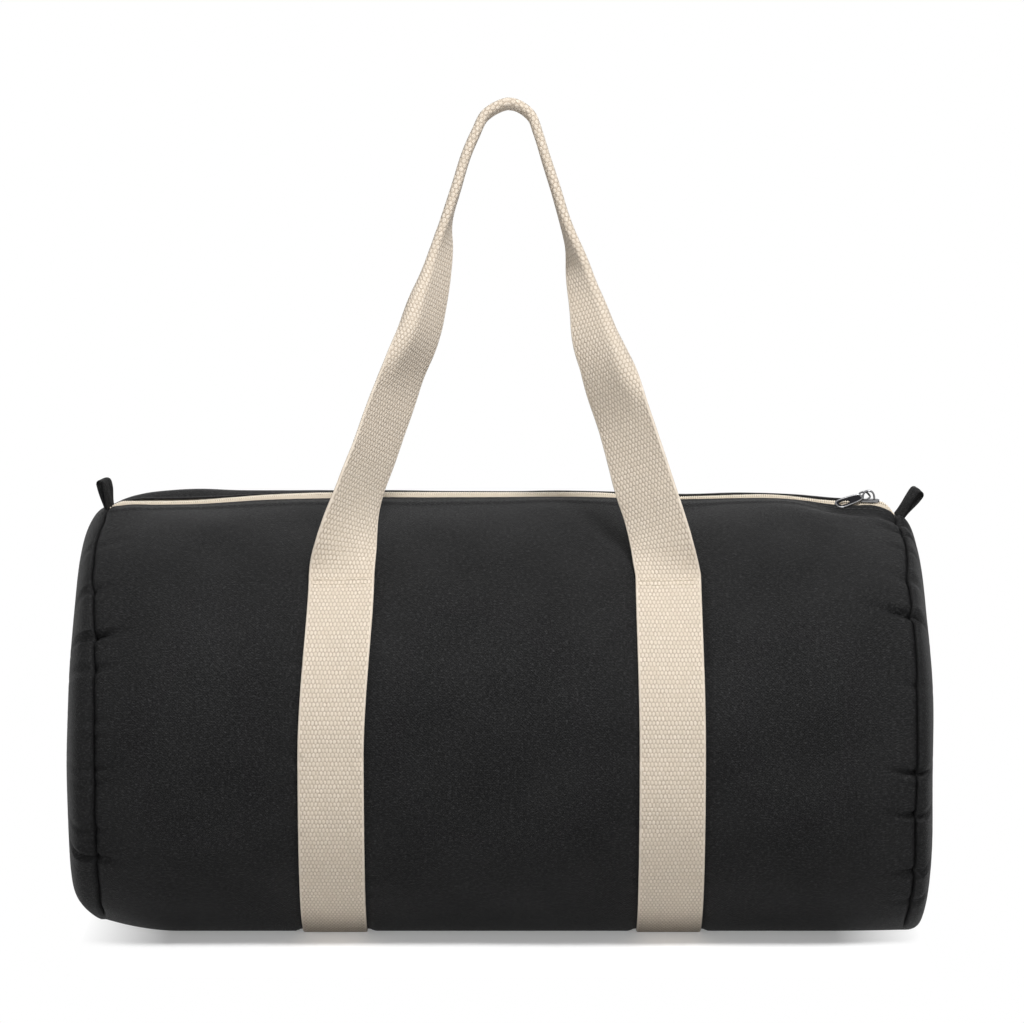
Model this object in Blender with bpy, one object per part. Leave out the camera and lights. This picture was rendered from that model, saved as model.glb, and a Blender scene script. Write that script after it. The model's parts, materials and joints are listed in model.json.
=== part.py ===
"""Barrel sports bag of black cotton canvas, with natural webbing handles and a coil zip along the top.

All lengths are in metres and +Z is up. X runs along the bag, -Y is its front, and the origin is the
middle of the base, on the ground. The soft pieces are closed solids of their true thickness.
"""

import math

import bpy
import numpy as np

# Canvas body
SEAM_SPAN = 0.456
BODY_DEPTH = 0.252
BODY_HEIGHT = 0.2429
BELLY_HEIGHT = 0.122
GROUND_PRESS = 0.006
CANVAS = 0.0009
GAP = 0.0003
TOP_POWER = 1.95
BOTTOM_POWER = 2.6

# Ends of the body
END_BULGE = 0.0215
END_DROP = 0.009
END_DROP_POWER = 1.8
END_TOP_POWER = 2.1
END_BOTTOM_POWER = 3.7
END_RUN = 0.036
ZIP_END_RUN = 0.009
BINDING_WIDTH = 0.010
BINDING_THICKNESS = 0.0015

# Webbing
WEBBING_WIDTH = 0.037
WEBBING_THICKNESS = 0.0022
BAND_OFFSET = 0.0955
GROOVE_SLOPE = 0.006
FOLD_RADIUS = 0.0022
STITCH_DROP = 0.0349
STITCH_WIDTH = 0.0016
STITCH_LENGTH = 0.033
THREAD = 0.0006
HANDLE_SETBACK = 0.004
BAND_TAIL = 0.008

# Handles
HANDLE_RISE = 0.271
FRONT_LEAN = math.radians(14)
APEX_OFFSET = 0.0035
REAR_CLEARANCE = 0.017
FLOOR_BEND = 0.024
FLOOR_CLEARANCE = 0.001

# Zip
ZIP_OPENING = 0.015
ZIP_TAPE_WIDTH = 0.012
ZIP_TAPE = 0.0006
COIL_WIDTH = 0.0026
COIL_HEIGHT = 0.0022
COIL_SPACE = 0.0012
SLIDER_END_GAP = 0.0155
SLIDER_LENGTH = 0.0125
SLIDER_PLATE = 0.0009
SLIDER_LIP = 0.0010
SLIDER_POST = 0.0006
CROWN_WIDTH = 0.0022
CROWN_LENGTH = 0.0078
CROWN_ROOM = 0.0042
CROWN_BAR = 0.0009
CROWN_CUT = 0.0013
PIVOT_RISE = 0.0029

# Pull
PULL_LENGTH = 0.022
PULL_WIDTH = 0.008
PULL_THICKNESS = 0.0012
PULL_EYE_LENGTH = 0.0046
PULL_EYE_WIDTH = 0.0054
PULL_ROD = 0.0006
PULL_NECK_WIDTH = 0.0076
PULL_SLOT_LENGTH = 0.006
PULL_SLOT_WIDTH = 0.003
PULL_RIM = 0.0022
SLOT_CORNER_SHARE = 0.48
EYE_THICKNESS_SHARE = 0.9
PULL_YAW = math.radians(19)
PULL_PITCH = math.radians(7)
PULL_ROLL = math.radians(4)

# Tabs at the ends of the zip
TAB_WIDTH = 0.010
TAB_HEIGHT = 0.0175
TAB_CLOTH = 0.0013
TAB_LOOP = 0.0030
TAB_LEAN_LEFT = math.radians(13)
TAB_LEAN_RIGHT = math.radians(36)
TAB_YAW = math.radians(25)

# Counts of steps
RING_STEPS = 44
HANDLE_STEPS = 48
PROFILE_STEPS = 24
BEND_STEPS = 12
CURVE_STEPS = 16
FINE_STEPS = 400
HEIGHT_STEPS = 2000
TAB_LEG_STEPS = 5
TAB_OVER_STEPS = 8

# Shares of the length that each row or column of points is placed by
DOME_SHARES = (0.0, 0.3, 0.55, 0.74, 0.87, 0.95, 0.985, 1.0)
PLAIN_SHARES = (0.4, 0.75, 1.0)
END_SHARES = (0.3, 0.55, 0.8, 1.0)
ZIP_END_SHARES = (1.0, 0.6, 0.3, 0.0)
COIL_ACROSS_SHARES = (0.0, 0.25, 0.75, 1.0)
COIL_RISE_SHARES = (0.5, 1.0, 1.0, 0.5)

# Worked out from the sizes above
SLIDER_PLACE = SEAM_SPAN / 2 - SLIDER_END_GAP
TURN = 2 * math.pi
SMALL_ANGLE = 1e-4
TINY_ANGLE = 1e-6


def material(name, color, roughness, metallic=0.0):
    """A Principled finish with one colour."""
    finish = bpy.data.materials.new(name)
    finish.use_nodes = True
    shader = finish.node_tree.nodes["Principled BSDF"]
    shader.inputs["Base Color"].default_value = (*color, 1.0)
    shader.inputs["Roughness"].default_value = roughness
    shader.inputs["Metallic"].default_value = metallic
    finish.diffuse_color = (*color, 1.0)
    return finish


def canvas_material():
    return material("black_canvas", (0.022, 0.022, 0.023), 0.92)


def webbing_material():
    return material("natural_webbing", (0.72, 0.63, 0.52), 0.88)


def zip_material():
    return material("natural_zip", (0.68, 0.61, 0.50), 0.70)


def thread_material():
    return material("natural_thread", (0.74, 0.66, 0.55), 0.80)


def chrome_material():
    return material("slider_chrome", (0.62, 0.62, 0.63), 0.22, 1.0)


def gunmetal_material():
    return material("pull_gunmetal", (0.16, 0.16, 0.17), 0.28, 1.0)


def turned(face):
    """The face seen from its other side. Its first corner stays first, so a quad keeps its diagonal."""
    return [face[0], *face[:0:-1]]


def faces_outward(points, faces):
    """The same faces, turned round where the body they close would have a negative volume."""
    volume = 0.0
    for face in faces:
        a = points[face[0]]
        for b, c in zip(face[1:-1], face[2:]):
            volume += np.dot(a, np.cross(points[b], points[c]))
    return [turned(face) for face in faces] if volume < 0 else faces


def add_mesh(name, points, faces, finish, origin=(0.0, 0.0, 0.0), parent=None, smooth_angle=40):
    """One object whose mesh is given in world space and stored about its origin."""
    points = np.asarray(points, float).reshape(-1, 3)
    faces = faces_outward(points, [[int(i) for i in face] for face in faces])
    mesh = bpy.data.meshes.new(name)
    mesh.from_pydata((points - np.asarray(origin)).tolist(), [], faces)
    mesh.materials.append(finish)
    mesh.shade_smooth()
    mesh.set_sharp_from_angle(angle=math.radians(smooth_angle))
    thing = bpy.data.objects.new(name, mesh)
    bpy.context.scene.collection.objects.link(thing)
    thing.location = origin
    if parent:
        thing.parent = parent
        thing.location = (0.0, 0.0, 0.0)
    return thing


def grid_faces(start, rows, cols):
    """Quads of one sheet of points, row by row."""
    index = start + np.arange(rows * cols).reshape(rows, cols)
    corners = (index[:-1, :-1], index[:-1, 1:], index[1:, 1:], index[1:, :-1])
    return np.stack(corners, axis=-1).reshape(-1, 4).tolist()


def slab(outer, inner):
    """Points and faces of the wall between two sheets of the same size, closed along its four edges."""
    rows, cols = outer.shape[:2]
    half = rows * cols
    faces = grid_faces(0, rows, cols)
    faces += [turned(face) for face in grid_faces(half, rows, cols)]
    index = np.arange(half).reshape(rows, cols)
    edge = np.concatenate([index[0, :-1], index[:-1, -1], index[-1, :0:-1], index[:0:-1, 0]])
    for a, b in zip(edge, np.roll(edge, -1)):
        faces.append([b, a, a + half, b + half])
    return np.concatenate([outer.reshape(-1, 3), inner.reshape(-1, 3)]), faces


def smooth_step(value):
    value = np.clip(value, 0.0, 1.0)
    return value * value * (3 - 2 * value)


def section(angle):
    """The barrel's outline in Y and Z. The angle starts at the zip and grows over the front.

    It is a superellipse whose power changes from the top half to the bottom half, pressed flat by the ground.
    """
    angle = np.asarray(angle, float)
    across, up = np.sin(angle), np.cos(angle)
    below = up < 0
    power = np.where(below, BOTTOM_POWER, TOP_POWER)
    reach_up = np.where(below, BELLY_HEIGHT + GROUND_PRESS, BODY_HEIGHT - BELLY_HEIGHT)
    size = (np.abs(across) / (BODY_DEPTH / 2)) ** power + (np.abs(up) / reach_up) ** power
    radius = size ** (-1 / power)
    return -radius * across, np.maximum(BELLY_HEIGHT + radius * up, 0.0)


def section_normal(angle):
    """The outward direction in Y and Z, from the outline's slope."""
    y0, z0 = section(angle - SMALL_ANGLE)
    y1, z1 = section(angle + SMALL_ANGLE)
    dy, dz = y1 - y0, z1 - z0
    size = np.hypot(dy, dz)
    return dz / size, -dy / size


def end_share(x, angle):
    """How far the outline has drawn in towards its middle, as a share, near the end seams."""
    from_zip = np.minimum(np.abs(angle), np.abs(TURN - angle))
    zip_zone = math.atan2(ZIP_OPENING, BODY_HEIGHT - BELLY_HEIGHT)
    run = ZIP_END_RUN + (END_RUN - ZIP_END_RUN) * smooth_step((from_zip - zip_zone) / (2 * zip_zone))
    share = np.clip((np.abs(x) - (SEAM_SPAN / 2 - run)) / run, 0.0, 1.0)
    return 2 * END_DROP / BODY_DEPTH * share**END_DROP_POWER


def body_point(x, angle, out=0.0):
    """A point of the canvas's outer surface, moved out along the section's normal."""
    x, angle, out = np.broadcast_arrays(np.asarray(x, float), np.asarray(angle, float), out)
    y, z = section(angle)
    ny, nz = section_normal(angle)
    y, z = y + ny * out, z + nz * out
    share = end_share(x, angle)
    return np.stack([x, y * (1 - share), z + (BELLY_HEIGHT - z) * share], axis=-1)


def angle_at_height(height):
    """The front angle where the outline stands at this height, above the belly."""
    angles = np.linspace(math.pi / 2, 0.0, HEIGHT_STEPS + 1)
    return float(np.interp(height, section(angles)[1], angles))


def angle_step(length, angle):
    """The angle that a length along the outline takes up there."""
    y0, z0 = section(angle - SMALL_ANGLE)
    y1, z1 = section(angle + SMALL_ANGLE)
    return float(length * 2 * SMALL_ANGLE / math.hypot(y1 - y0, z1 - z0))


STITCH_ANGLE = angle_at_height(BODY_HEIGHT - STITCH_DROP)
AXIS_ANGLE = STITCH_ANGLE - angle_step(HANDLE_SETBACK, STITCH_ANGLE)
BAND_END_ANGLE = AXIS_ANGLE - angle_step(BAND_TAIL, AXIS_ANGLE)
GROOVE_END_ANGLE = BAND_END_ANGLE - angle_step(GAP, BAND_END_ANGLE)
GROOVE_FADE_ANGLE = GROOVE_END_ANGLE - angle_step(GROOVE_SLOPE, GROOVE_END_ANGLE)
ZIP_EDGE_ANGLE = math.atan2(ZIP_OPENING / 2, BODY_HEIGHT - BELLY_HEIGHT)
BINDING_ANGLE = ZIP_EDGE_ANGLE + angle_step(ZIP_TAPE_WIDTH, ZIP_EDGE_ANGLE)


def mirrored_angles(front):
    """Front angles with their twins on the rear, in order."""
    return np.array(sorted(front) + sorted(TURN - angle for angle in front))


def ring_angles(first):
    """Angles round the body from one side of the zip to the other, the ends of the grooves among them."""
    even = np.linspace(ZIP_EDGE_ANGLE, math.pi, RING_STEPS // 2 + 1)[:-1]
    marks = [GROOVE_FADE_ANGLE, GROOVE_END_ANGLE, BAND_END_ANGLE, BINDING_ANGLE]
    clear = [turn for turn in even if min(abs(turn - mark) for mark in marks) > angle_step(GAP, turn)]
    front = [angle for angle in clear + marks if angle >= first - TINY_ANGLE]
    both = mirrored_angles(front)
    middle = len(both) // 2
    return np.concatenate([both[:middle], [math.pi], both[middle:]])


def groove_depth(x, angle):
    """How far the canvas lies back under a band: full depth below the band's end, none beside it."""
    beside = np.abs(np.abs(x) - BAND_OFFSET) - (WEBBING_WIDTH / 2 + GAP)
    across = np.clip(1 - beside / GROOVE_SLOPE, 0.0, 1.0)
    from_zip = np.minimum(angle, TURN - angle)
    along = np.clip((from_zip - GROOVE_FADE_ANGLE) / (GROOVE_END_ANGLE - GROOVE_FADE_ANGLE), 0.0, 1.0)
    return (WEBBING_THICKNESS + GAP) * across * along


def body_columns():
    """X of each column of the body's mesh: the grooves' edges, and closer steps where the ends draw in."""
    half = WEBBING_WIDTH / 2 + GAP
    inner = BAND_OFFSET - half - GROOVE_SLOPE
    grooves = [inner, BAND_OFFSET - half, BAND_OFFSET + half, BAND_OFFSET + half + GROOVE_SLOPE]
    seam = SEAM_SPAN / 2
    start = seam - END_RUN
    plain = [inner / 2] + [grooves[-1] + (start - grooves[-1]) * share for share in PLAIN_SHARES]
    ends = [start + (seam - ZIP_END_RUN - start) * share for share in END_SHARES]
    last = [seam - ZIP_END_RUN * share for share in ZIP_END_SHARES[1:]]
    right = grooves + plain + ends + last
    return np.array(sorted([-x for x in right] + [0.0] + right))


def body_panel(finish):
    x, angle = np.meshgrid(body_columns(), ring_angles(ZIP_EDGE_ANGLE), indexing="ij")
    depth = groove_depth(x, angle)
    points, faces = slab(body_point(x, angle, -depth), body_point(x, angle, -depth - CANVAS))
    add_mesh("body_panel", points, faces, finish)


def dome(side, angles, inset):
    """Points of an end's dome in rings, from its middle out to the seam. It is fullest near the bottom."""
    seam = body_point(SEAM_SPAN / 2, angles)
    centre = np.array([SEAM_SPAN / 2, 0.0, BELLY_HEIGHT])
    low = smooth_step((1 - np.cos(angles)) / 2)
    power = END_TOP_POWER + (END_BOTTOM_POWER - END_TOP_POWER) * low
    rings = []
    for share in DOME_SHARES[1:]:
        ring = centre + (seam - centre) * share * (1 - inset / (BODY_DEPTH / 2))
        bulge = (END_BULGE - inset) * np.maximum(1 - share**power, 0) ** (1 / power)
        ring[:, 0] = side * (SEAM_SPAN / 2 + GAP + bulge)
        rings.append(ring)
    middle = np.array([side * (SEAM_SPAN / 2 + GAP + END_BULGE - inset), 0.0, BELLY_HEIGHT])
    return middle, np.array(rings)


def end_panel(name, side, finish):
    """A domed sheet: outer rings, inner rings and the rim between them."""
    angles = np.concatenate([[0.0], ring_angles(ZIP_EDGE_ANGLE)])
    count = len(angles)
    points, faces, starts = [], [], []
    for inset in (0.0, CANVAS):
        middle, rings = dome(side, angles, inset)
        start = len(points)
        starts.append(start)
        points.append(middle)
        points.extend(rings.reshape(-1, 3))
        turn = 1 if inset else -1
        for i in range(count):
            j = (i + 1) % count
            faces.append([start, start + 1 + i, start + 1 + j][::turn])
            for ring in range(len(rings) - 1):
                a = start + 1 + ring * count
                faces.append([a + i, a + count + i, a + count + j, a + j][::turn])
    last = (len(DOME_SHARES) - 2) * count + 1
    for i in range(count):
        j = (i + 1) % count
        outer, inner = starts[0] + last, starts[1] + last
        faces.append([outer + i, outer + j, inner + j, inner + i])
    add_mesh(name, points, faces, finish)


def seam_binding(name, side, finish):
    """Tape round the seam allowance, inside the body. It stops at the zip tapes."""
    seam = SEAM_SPAN / 2
    columns = body_columns()
    columns = columns[(columns > seam - BINDING_WIDTH) & (columns < seam + GAP)]
    first = BINDING_ANGLE + angle_step(GAP, 0.0)
    x, angle = np.meshgrid(np.sort(side * columns), ring_angles(first), indexing="ij")
    out = -(CANVAS + GAP)
    points, faces = slab(body_point(x, angle, out), body_point(x, angle, out - BINDING_THICKNESS))
    add_mesh(name, points, faces, finish)


def stitch_cut(angle):
    """How deep the band is cut for the cross stitch at its front or rear end."""
    from_zip = min(angle, TURN - angle)
    half = angle_step(STITCH_WIDTH / 2, STITCH_ANGLE) + TINY_ANGLE
    return THREAD + GAP if abs(from_zip - STITCH_ANGLE) < half else 0.0


def band(name, side, finish):
    """Webbing sewn to the canvas from the foot of the front handle, under the bag, to the rear one."""
    half = angle_step(STITCH_WIDTH / 2, STITCH_ANGLE)
    wall = angle_step(GAP / 3, STITCH_ANGLE)
    marks = [STITCH_ANGLE + edge * (half + extra) for edge in (-1, 1) for extra in (0.0, wall)]
    angles = ring_angles(BAND_END_ANGLE)
    angles = np.array(sorted(list(angles) + list(mirrored_angles(marks))))
    x = side * BAND_OFFSET + np.array([-1, 1]) * WEBBING_WIDTH / 2
    x, angle = np.meshgrid(x, angles, indexing="ij")
    cut = np.vectorize(stitch_cut)(angle)
    points, faces = slab(body_point(x, angle, -cut), body_point(x, angle, -WEBBING_THICKNESS))
    add_mesh(name, points, faces, finish)


def cross_stitch(name, side, rear, finish):
    """The row of thread across the foot of one handle leg, sunk in the webbing."""
    half = angle_step(STITCH_WIDTH / 2 - GAP, STITCH_ANGLE)
    angles = STITCH_ANGLE + np.array([-half, half])
    x = side * BAND_OFFSET + np.array([-1, 1]) * STITCH_LENGTH / 2
    x, angle = np.meshgrid(x, TURN - angles if rear else angles, indexing="ij")
    points, faces = slab(body_point(x, angle, 0.0), body_point(x, angle, -THREAD))
    add_mesh(name, points, faces, finish)


def axis_point(rear=False):
    """Y and Z of a handle's hinge line, just off the band's face at the foot of the handle."""
    angle = TURN - AXIS_ANGLE if rear else AXIS_ANGLE
    return body_point(0.0, angle, GAP + WEBBING_THICKNESS / 2)[1:]


def front_profile():
    """The front handle from the side: straight up, leaning over the bag."""
    foot = axis_point()
    top = foot + HANDLE_RISE * np.array([math.sin(FRONT_LEAN), math.cos(FRONT_LEAN)])
    return np.linspace(foot, top, PROFILE_STEPS)


def rear_profile():
    """The rear handle from the side: down round the belly, to the ground, and out along it."""
    foot_out = GAP + WEBBING_THICKNESS / 2
    angles = np.linspace(AXIS_ANGLE, math.pi / 2, PROFILE_STEPS)
    share = (angles - AXIS_ANGLE) / (math.pi / 2 - AXIS_ANGLE)
    out = foot_out + (REAR_CLEARANCE - foot_out) * share
    round_belly = body_point(0.0, TURN - angles, out)[:, 1:]
    down_y = round_belly[-1, 0]
    rest = WEBBING_WIDTH / 2 + FLOOR_CLEARANCE
    turn = np.linspace(0.0, math.pi / 2, BEND_STEPS)
    bend_y = down_y + FLOOR_BEND * (1 - np.cos(turn))
    bend_z = rest + FLOOR_BEND * (1 - np.sin(turn))
    bend = np.stack([bend_y, bend_z], axis=-1)
    path = np.concatenate([round_belly, bend])
    used = np.hypot(*np.diff(path, axis=0).T).sum()
    end = bend[-1] + np.array([HANDLE_RISE - used, 0.0])
    return np.concatenate([path, [end]])


def smooth_line(points, count):
    """A Catmull-Rom curve through the points, even in length."""
    points = np.asarray(points, float)
    before, after = 2 * points[0] - points[1], 2 * points[-1] - points[-2]
    padded = np.concatenate([[before], points, [after]])
    share = np.linspace(0.0, 1.0, CURVE_STEPS, endpoint=False)[:, None]
    pieces = []
    for a, b, c, d in zip(padded, padded[1:], padded[2:], padded[3:]):
        cubic = (3 * b - 3 * c + d - a) * share**3 + (2 * a - 5 * b + 4 * c - d) * share**2
        pieces.append(b + (cubic + (c - a) * share) / 2)
    line = np.concatenate(pieces + [points[-1:]])
    return even_line(line, count)


def even_line(line, count):
    """The same line with its points at even lengths, and the length reached at each."""
    steps = np.hypot(*np.diff(line, axis=0).T)
    reached = np.concatenate([[0.0], np.cumsum(steps)])
    places = np.linspace(0.0, reached[-1], count)
    return np.stack([np.interp(places, reached, line[:, k]) for k in range(line.shape[1])], axis=-1)


# One leg of the loop laid flat: shares of the half span, and of the rise, from the foot to near the apex
LEG_SHARES = ((1.0, 0.0), (0.93, 0.095), (0.84, 0.19), (0.63, 0.39), (0.475, 0.57), (0.375, 0.73),
              (0.265, 0.86), (0.15, 0.965), (0.05, 0.995))


def flat_loop():
    """The whole loop laid flat, as X and the distance along the side profile."""
    half = [(BAND_OFFSET * across, HANDLE_RISE * up) for across, up in LEG_SHARES]
    left = [(-x + APEX_OFFSET * up / HANDLE_RISE, up) for x, up in half]
    right = [(x + APEX_OFFSET * up / HANDLE_RISE, up) for x, up in reversed(half)]
    return smooth_line(left + right, HANDLE_STEPS + 1)


# Where the webbing starts to fold and is wholly folded, as shares of the rise
FOLD_START_SHARE = 0.36
FOLD_END_SHARE = 0.74
# Up to this share of the rise, the webbing's ends turn from lying along the hinge to square with the leg
SQUARE_FOOT_SHARE = 0.12
# Places across the half width where the folded section is worked out, as shares of it
FOLD_SHARES = (0.0, 0.09, 0.19, 0.5, 1.0)


def fold_section(fold):
    """Across and inward places of the webbing's two faces, folded about its middle.

    The turn builds up over a quarter circle of the fold radius on each side and stays from there outward.
    """
    bend = FOLD_RADIUS * math.pi / 2
    fine = np.linspace(0.0, WEBBING_WIDTH / 2, FINE_STEPS + 1)
    turn = fold * math.pi / 2 * np.minimum(fine / bend, 1.0)
    step = fine[1]
    across = np.concatenate([[0.0], np.cumsum((np.cos(turn[1:]) + np.cos(turn[:-1])) / 2 * step)])
    inward = np.concatenate([[0.0], np.cumsum((np.sin(turn[1:]) + np.sin(turn[:-1])) / 2 * step)])
    places = np.array(FOLD_SHARES) * WEBBING_WIDTH / 2
    a, b, t = (np.interp(places, fine, values) for values in (across, inward, turn))
    half = WEBBING_THICKNESS / 2
    faces = []
    for out in (half, -half):
        one = np.stack([a + out * np.sin(t), b - out * np.cos(t)], axis=-1)
        other = one[:0:-1] * np.array([-1.0, 1.0])
        faces.append(np.concatenate([other, one]))
    return faces


def handle(name, profile, finish):
    """Webbing carried round the loop. It lies flat at its feet and is folded in half at the grip.

    The loop is laid on the side profile. Each section stands square to the loop, with its fold outward.
    """
    foot = profile[0]
    flat = flat_loop()
    reached = np.concatenate([[0.0], np.cumsum(np.hypot(*np.diff(profile, axis=0).T))])
    slope = np.gradient(profile, reached, axis=0)
    y, z = (np.interp(flat[:, 1], reached, profile[:, k]) for k in (0, 1))
    dy, dz = (np.interp(flat[:, 1], reached, slope[:, k]) for k in (0, 1))
    size = np.hypot(dy, dz)
    dy, dz = dy / size, dz / size
    spine = np.stack([flat[:, 0], y, z], axis=-1)
    outward = np.stack([np.zeros_like(y), -dz, dy], axis=-1)
    share = flat[:, 1] / HANDLE_RISE
    along = np.gradient(flat, axis=0)
    along /= np.hypot(*along.T)[:, None]
    straight = np.stack([np.zeros_like(share), np.sign(along[:, 1])], axis=-1)
    along = straight + (along - straight) * smooth_step(share / SQUARE_FOOT_SHARE)[:, None]
    along /= np.hypot(*along.T)[:, None]
    width = np.stack([along[:, 1], -along[:, 0] * dy, -along[:, 0] * dz], axis=-1)
    narrowing = smooth_step((share - FOLD_START_SHARE) / (FOLD_END_SHARE - FOLD_START_SHARE))
    fold = np.arccos(1 - narrowing) * 2 / math.pi
    outer, inner = [], []
    for k in range(len(flat)):
        for faces, sheet in zip(fold_section(fold[k]), (outer, inner)):
            sheet.append(spine[k] + faces[:, :1] * width[k] - faces[:, 1:] * outward[k])
    points, faces = slab(np.array(outer), np.array(inner))
    pivot = bpy.data.objects.new(name + "_axis", None)
    bpy.context.scene.collection.objects.link(pivot)
    pivot.location = (0.0, *foot)
    add_mesh(name, points, faces, finish, origin=pivot.location, parent=pivot)


def zip_level(x):
    """Height of the middle of the zip tape between the canvas edges."""
    return body_point(x, ZIP_EDGE_ANGLE, -(CANVAS + GAP + ZIP_TAPE / 2))[..., 2]


def zip_columns():
    seam = SEAM_SPAN / 2
    right = [seam - ZIP_END_RUN * share for share in ZIP_END_SHARES]
    return np.array([-x for x in reversed(right)] + right)


def zip_tape(name, side, finish):
    """Woven tape: level beside the teeth, then close under the canvas."""
    columns = zip_columns()
    turn = (lambda angle: angle) if side < 0 else (lambda angle: TURN - angle)
    sheets = []
    for out in (-(CANVAS + GAP), -(CANVAS + GAP + ZIP_TAPE)):
        edge = body_point(columns, turn(ZIP_EDGE_ANGLE), out)
        under = body_point(columns, turn(BINDING_ANGLE), out)
        beside = edge.copy()
        beside[:, 1] = side * (COIL_SPACE / 2 + COIL_WIDTH + GAP)
        rows = [beside, edge, under] if side < 0 else [under, edge, beside]
        sheets.append(np.stack(rows, axis=1))
    points, faces = slab(*sheets)
    add_mesh(name, points, faces, finish)


def zip_coil(name, side, finish):
    """One row of teeth as a bar with rounded shoulders."""
    near = COIL_SPACE / 2
    y = near + COIL_WIDTH * np.array(COIL_ACROSS_SHARES)
    rise = COIL_HEIGHT / 2 * np.array(COIL_RISE_SHARES)
    x, y = np.meshgrid(zip_columns(), side * y, indexing="ij")
    level = zip_level(x)
    points, faces = slab(np.stack([x, y, level + rise], -1), np.stack([x, y, level - rise], -1))
    add_mesh(name, points, faces, finish)


def prism(outline, ends):
    """An outline in a plane carried straight between two ends. Returns points and faces."""
    count = len(outline)
    points = [point for end in ends for point in end]
    faces = [list(range(count))[::-1], list(range(count, 2 * count))]
    faces += [[i, (i + 1) % count, count + (i + 1) % count, count + i] for i in range(count)]
    return points, faces


def slider_levels():
    """Heights of the zip's middle, the top of the slider's upper plate, and the pull's pivot."""
    middle = float(zip_level(0.0))
    plate_top = middle + COIL_HEIGHT / 2 + GAP + SLIDER_PLATE
    return middle, plate_top, plate_top + PIVOT_RISE


def slider_outline():
    """Section in Y and Z about the zip's middle: post, two plates, and lips that reach towards the tape."""
    room = COIL_HEIGHT / 2 + GAP
    coil_edge = COIL_SPACE / 2 + COIL_WIDTH + GAP
    outside = coil_edge + SLIDER_LIP
    lip = ZIP_TAPE / 2 + GAP
    post = SLIDER_POST / 2
    plate_top = room + SLIDER_PLATE
    quarter = [(post, room), (coil_edge, room), (coil_edge, lip), (outside, lip), (outside, plate_top)]
    right = [(y, -z) for y, z in reversed(quarter)] + quarter
    return right + [(-y, z) for y, z in reversed(quarter)] + [(-y, -z) for y, z in quarter]


def zip_slider(finish):
    """Two plates joined by a post, with the crown's arch on top."""
    middle, plate_top, _ = slider_levels()
    outline = slider_outline()
    stations = []
    for x in (SLIDER_PLACE - SLIDER_LENGTH / 2, SLIDER_PLACE + SLIDER_LENGTH / 2):
        stations.append([(x, y, middle + z) for y, z in outline])
    points, faces = prism(outline, stations)
    slider = add_mesh("zip_slider", points, faces, finish, smooth_angle=30)
    foot = plate_top - SLIDER_PLATE / 2
    half = CROWN_LENGTH / 2
    inner = half - CROWN_BAR
    top = plate_top + CROWN_ROOM + CROWN_BAR
    cut = CROWN_CUT
    under = top - CROWN_BAR
    arch = [(-half, foot), (-half, top - cut), (-half + cut, top), (half - cut, top), (half, top - cut),
            (half, foot), (inner, foot), (inner, under - cut / 2), (inner - cut / 2, under),
            (cut / 2 - inner, under), (-inner, under - cut / 2), (-inner, foot)]
    stations = [[(SLIDER_PLACE + x, y, z) for x, z in arch] for y in (-CROWN_WIDTH / 2, CROWN_WIDTH / 2)]
    points, faces = prism(arch, stations)
    crown = add_mesh("crown_shape", points, faces, finish, smooth_angle=30)
    crown.hide_render = True
    crown.display_type = "WIRE"
    join = slider.modifiers.new("crown", "BOOLEAN")
    join.operation = "UNION"
    join.object = crown


def rounded_rectangle(length, width, start, corner, steps=3):
    """Corner points of a rectangle that starts at this X and lies about Y zero, with round corners."""
    centres = [(start + length - corner, width / 2 - corner, 0), (start + corner, width / 2 - corner, 1),
               (start + corner, corner - width / 2, 2), (start + length - corner, corner - width / 2, 3)]
    points = []
    for x, y, quarter in centres:
        for k in range(steps + 1):
            turn = (quarter + k / steps) * math.pi / 2
            points.append((x + corner * math.cos(turn), y + corner * math.sin(turn)))
    return points


def flat_ring(outer, inner, half):
    """A plate with one hole, from two outlines of the same count."""
    count = len(outer)
    points = [(x, y, z) for z in (half, -half) for ring in (outer, inner) for x, y in ring]
    faces = []
    for i in range(count):
        j = (i + 1) % count
        a, b, c, d = i, count + i, 2 * count + i, 3 * count + i
        e, f, g, h = j, count + j, 2 * count + j, 3 * count + j
        faces += [[a, e, f, b], [c, d, h, g], [a, c, g, e], [b, f, h, d]]
    return points, faces


def pull_frame():
    """Axes of the pull at rest: along it, across it and square to its face."""
    level = np.array([-math.cos(PULL_YAW), -math.sin(PULL_YAW), 0.0])
    along = level * math.cos(PULL_PITCH) - np.array([0.0, 0.0, math.sin(PULL_PITCH)])
    across = np.cross(level, [0.0, 0.0, 1.0])
    face = np.cross(across, along)
    rolled = across * math.cos(PULL_ROLL) + face * math.sin(PULL_ROLL)
    return along, rolled, np.cross(rolled, along)


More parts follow.
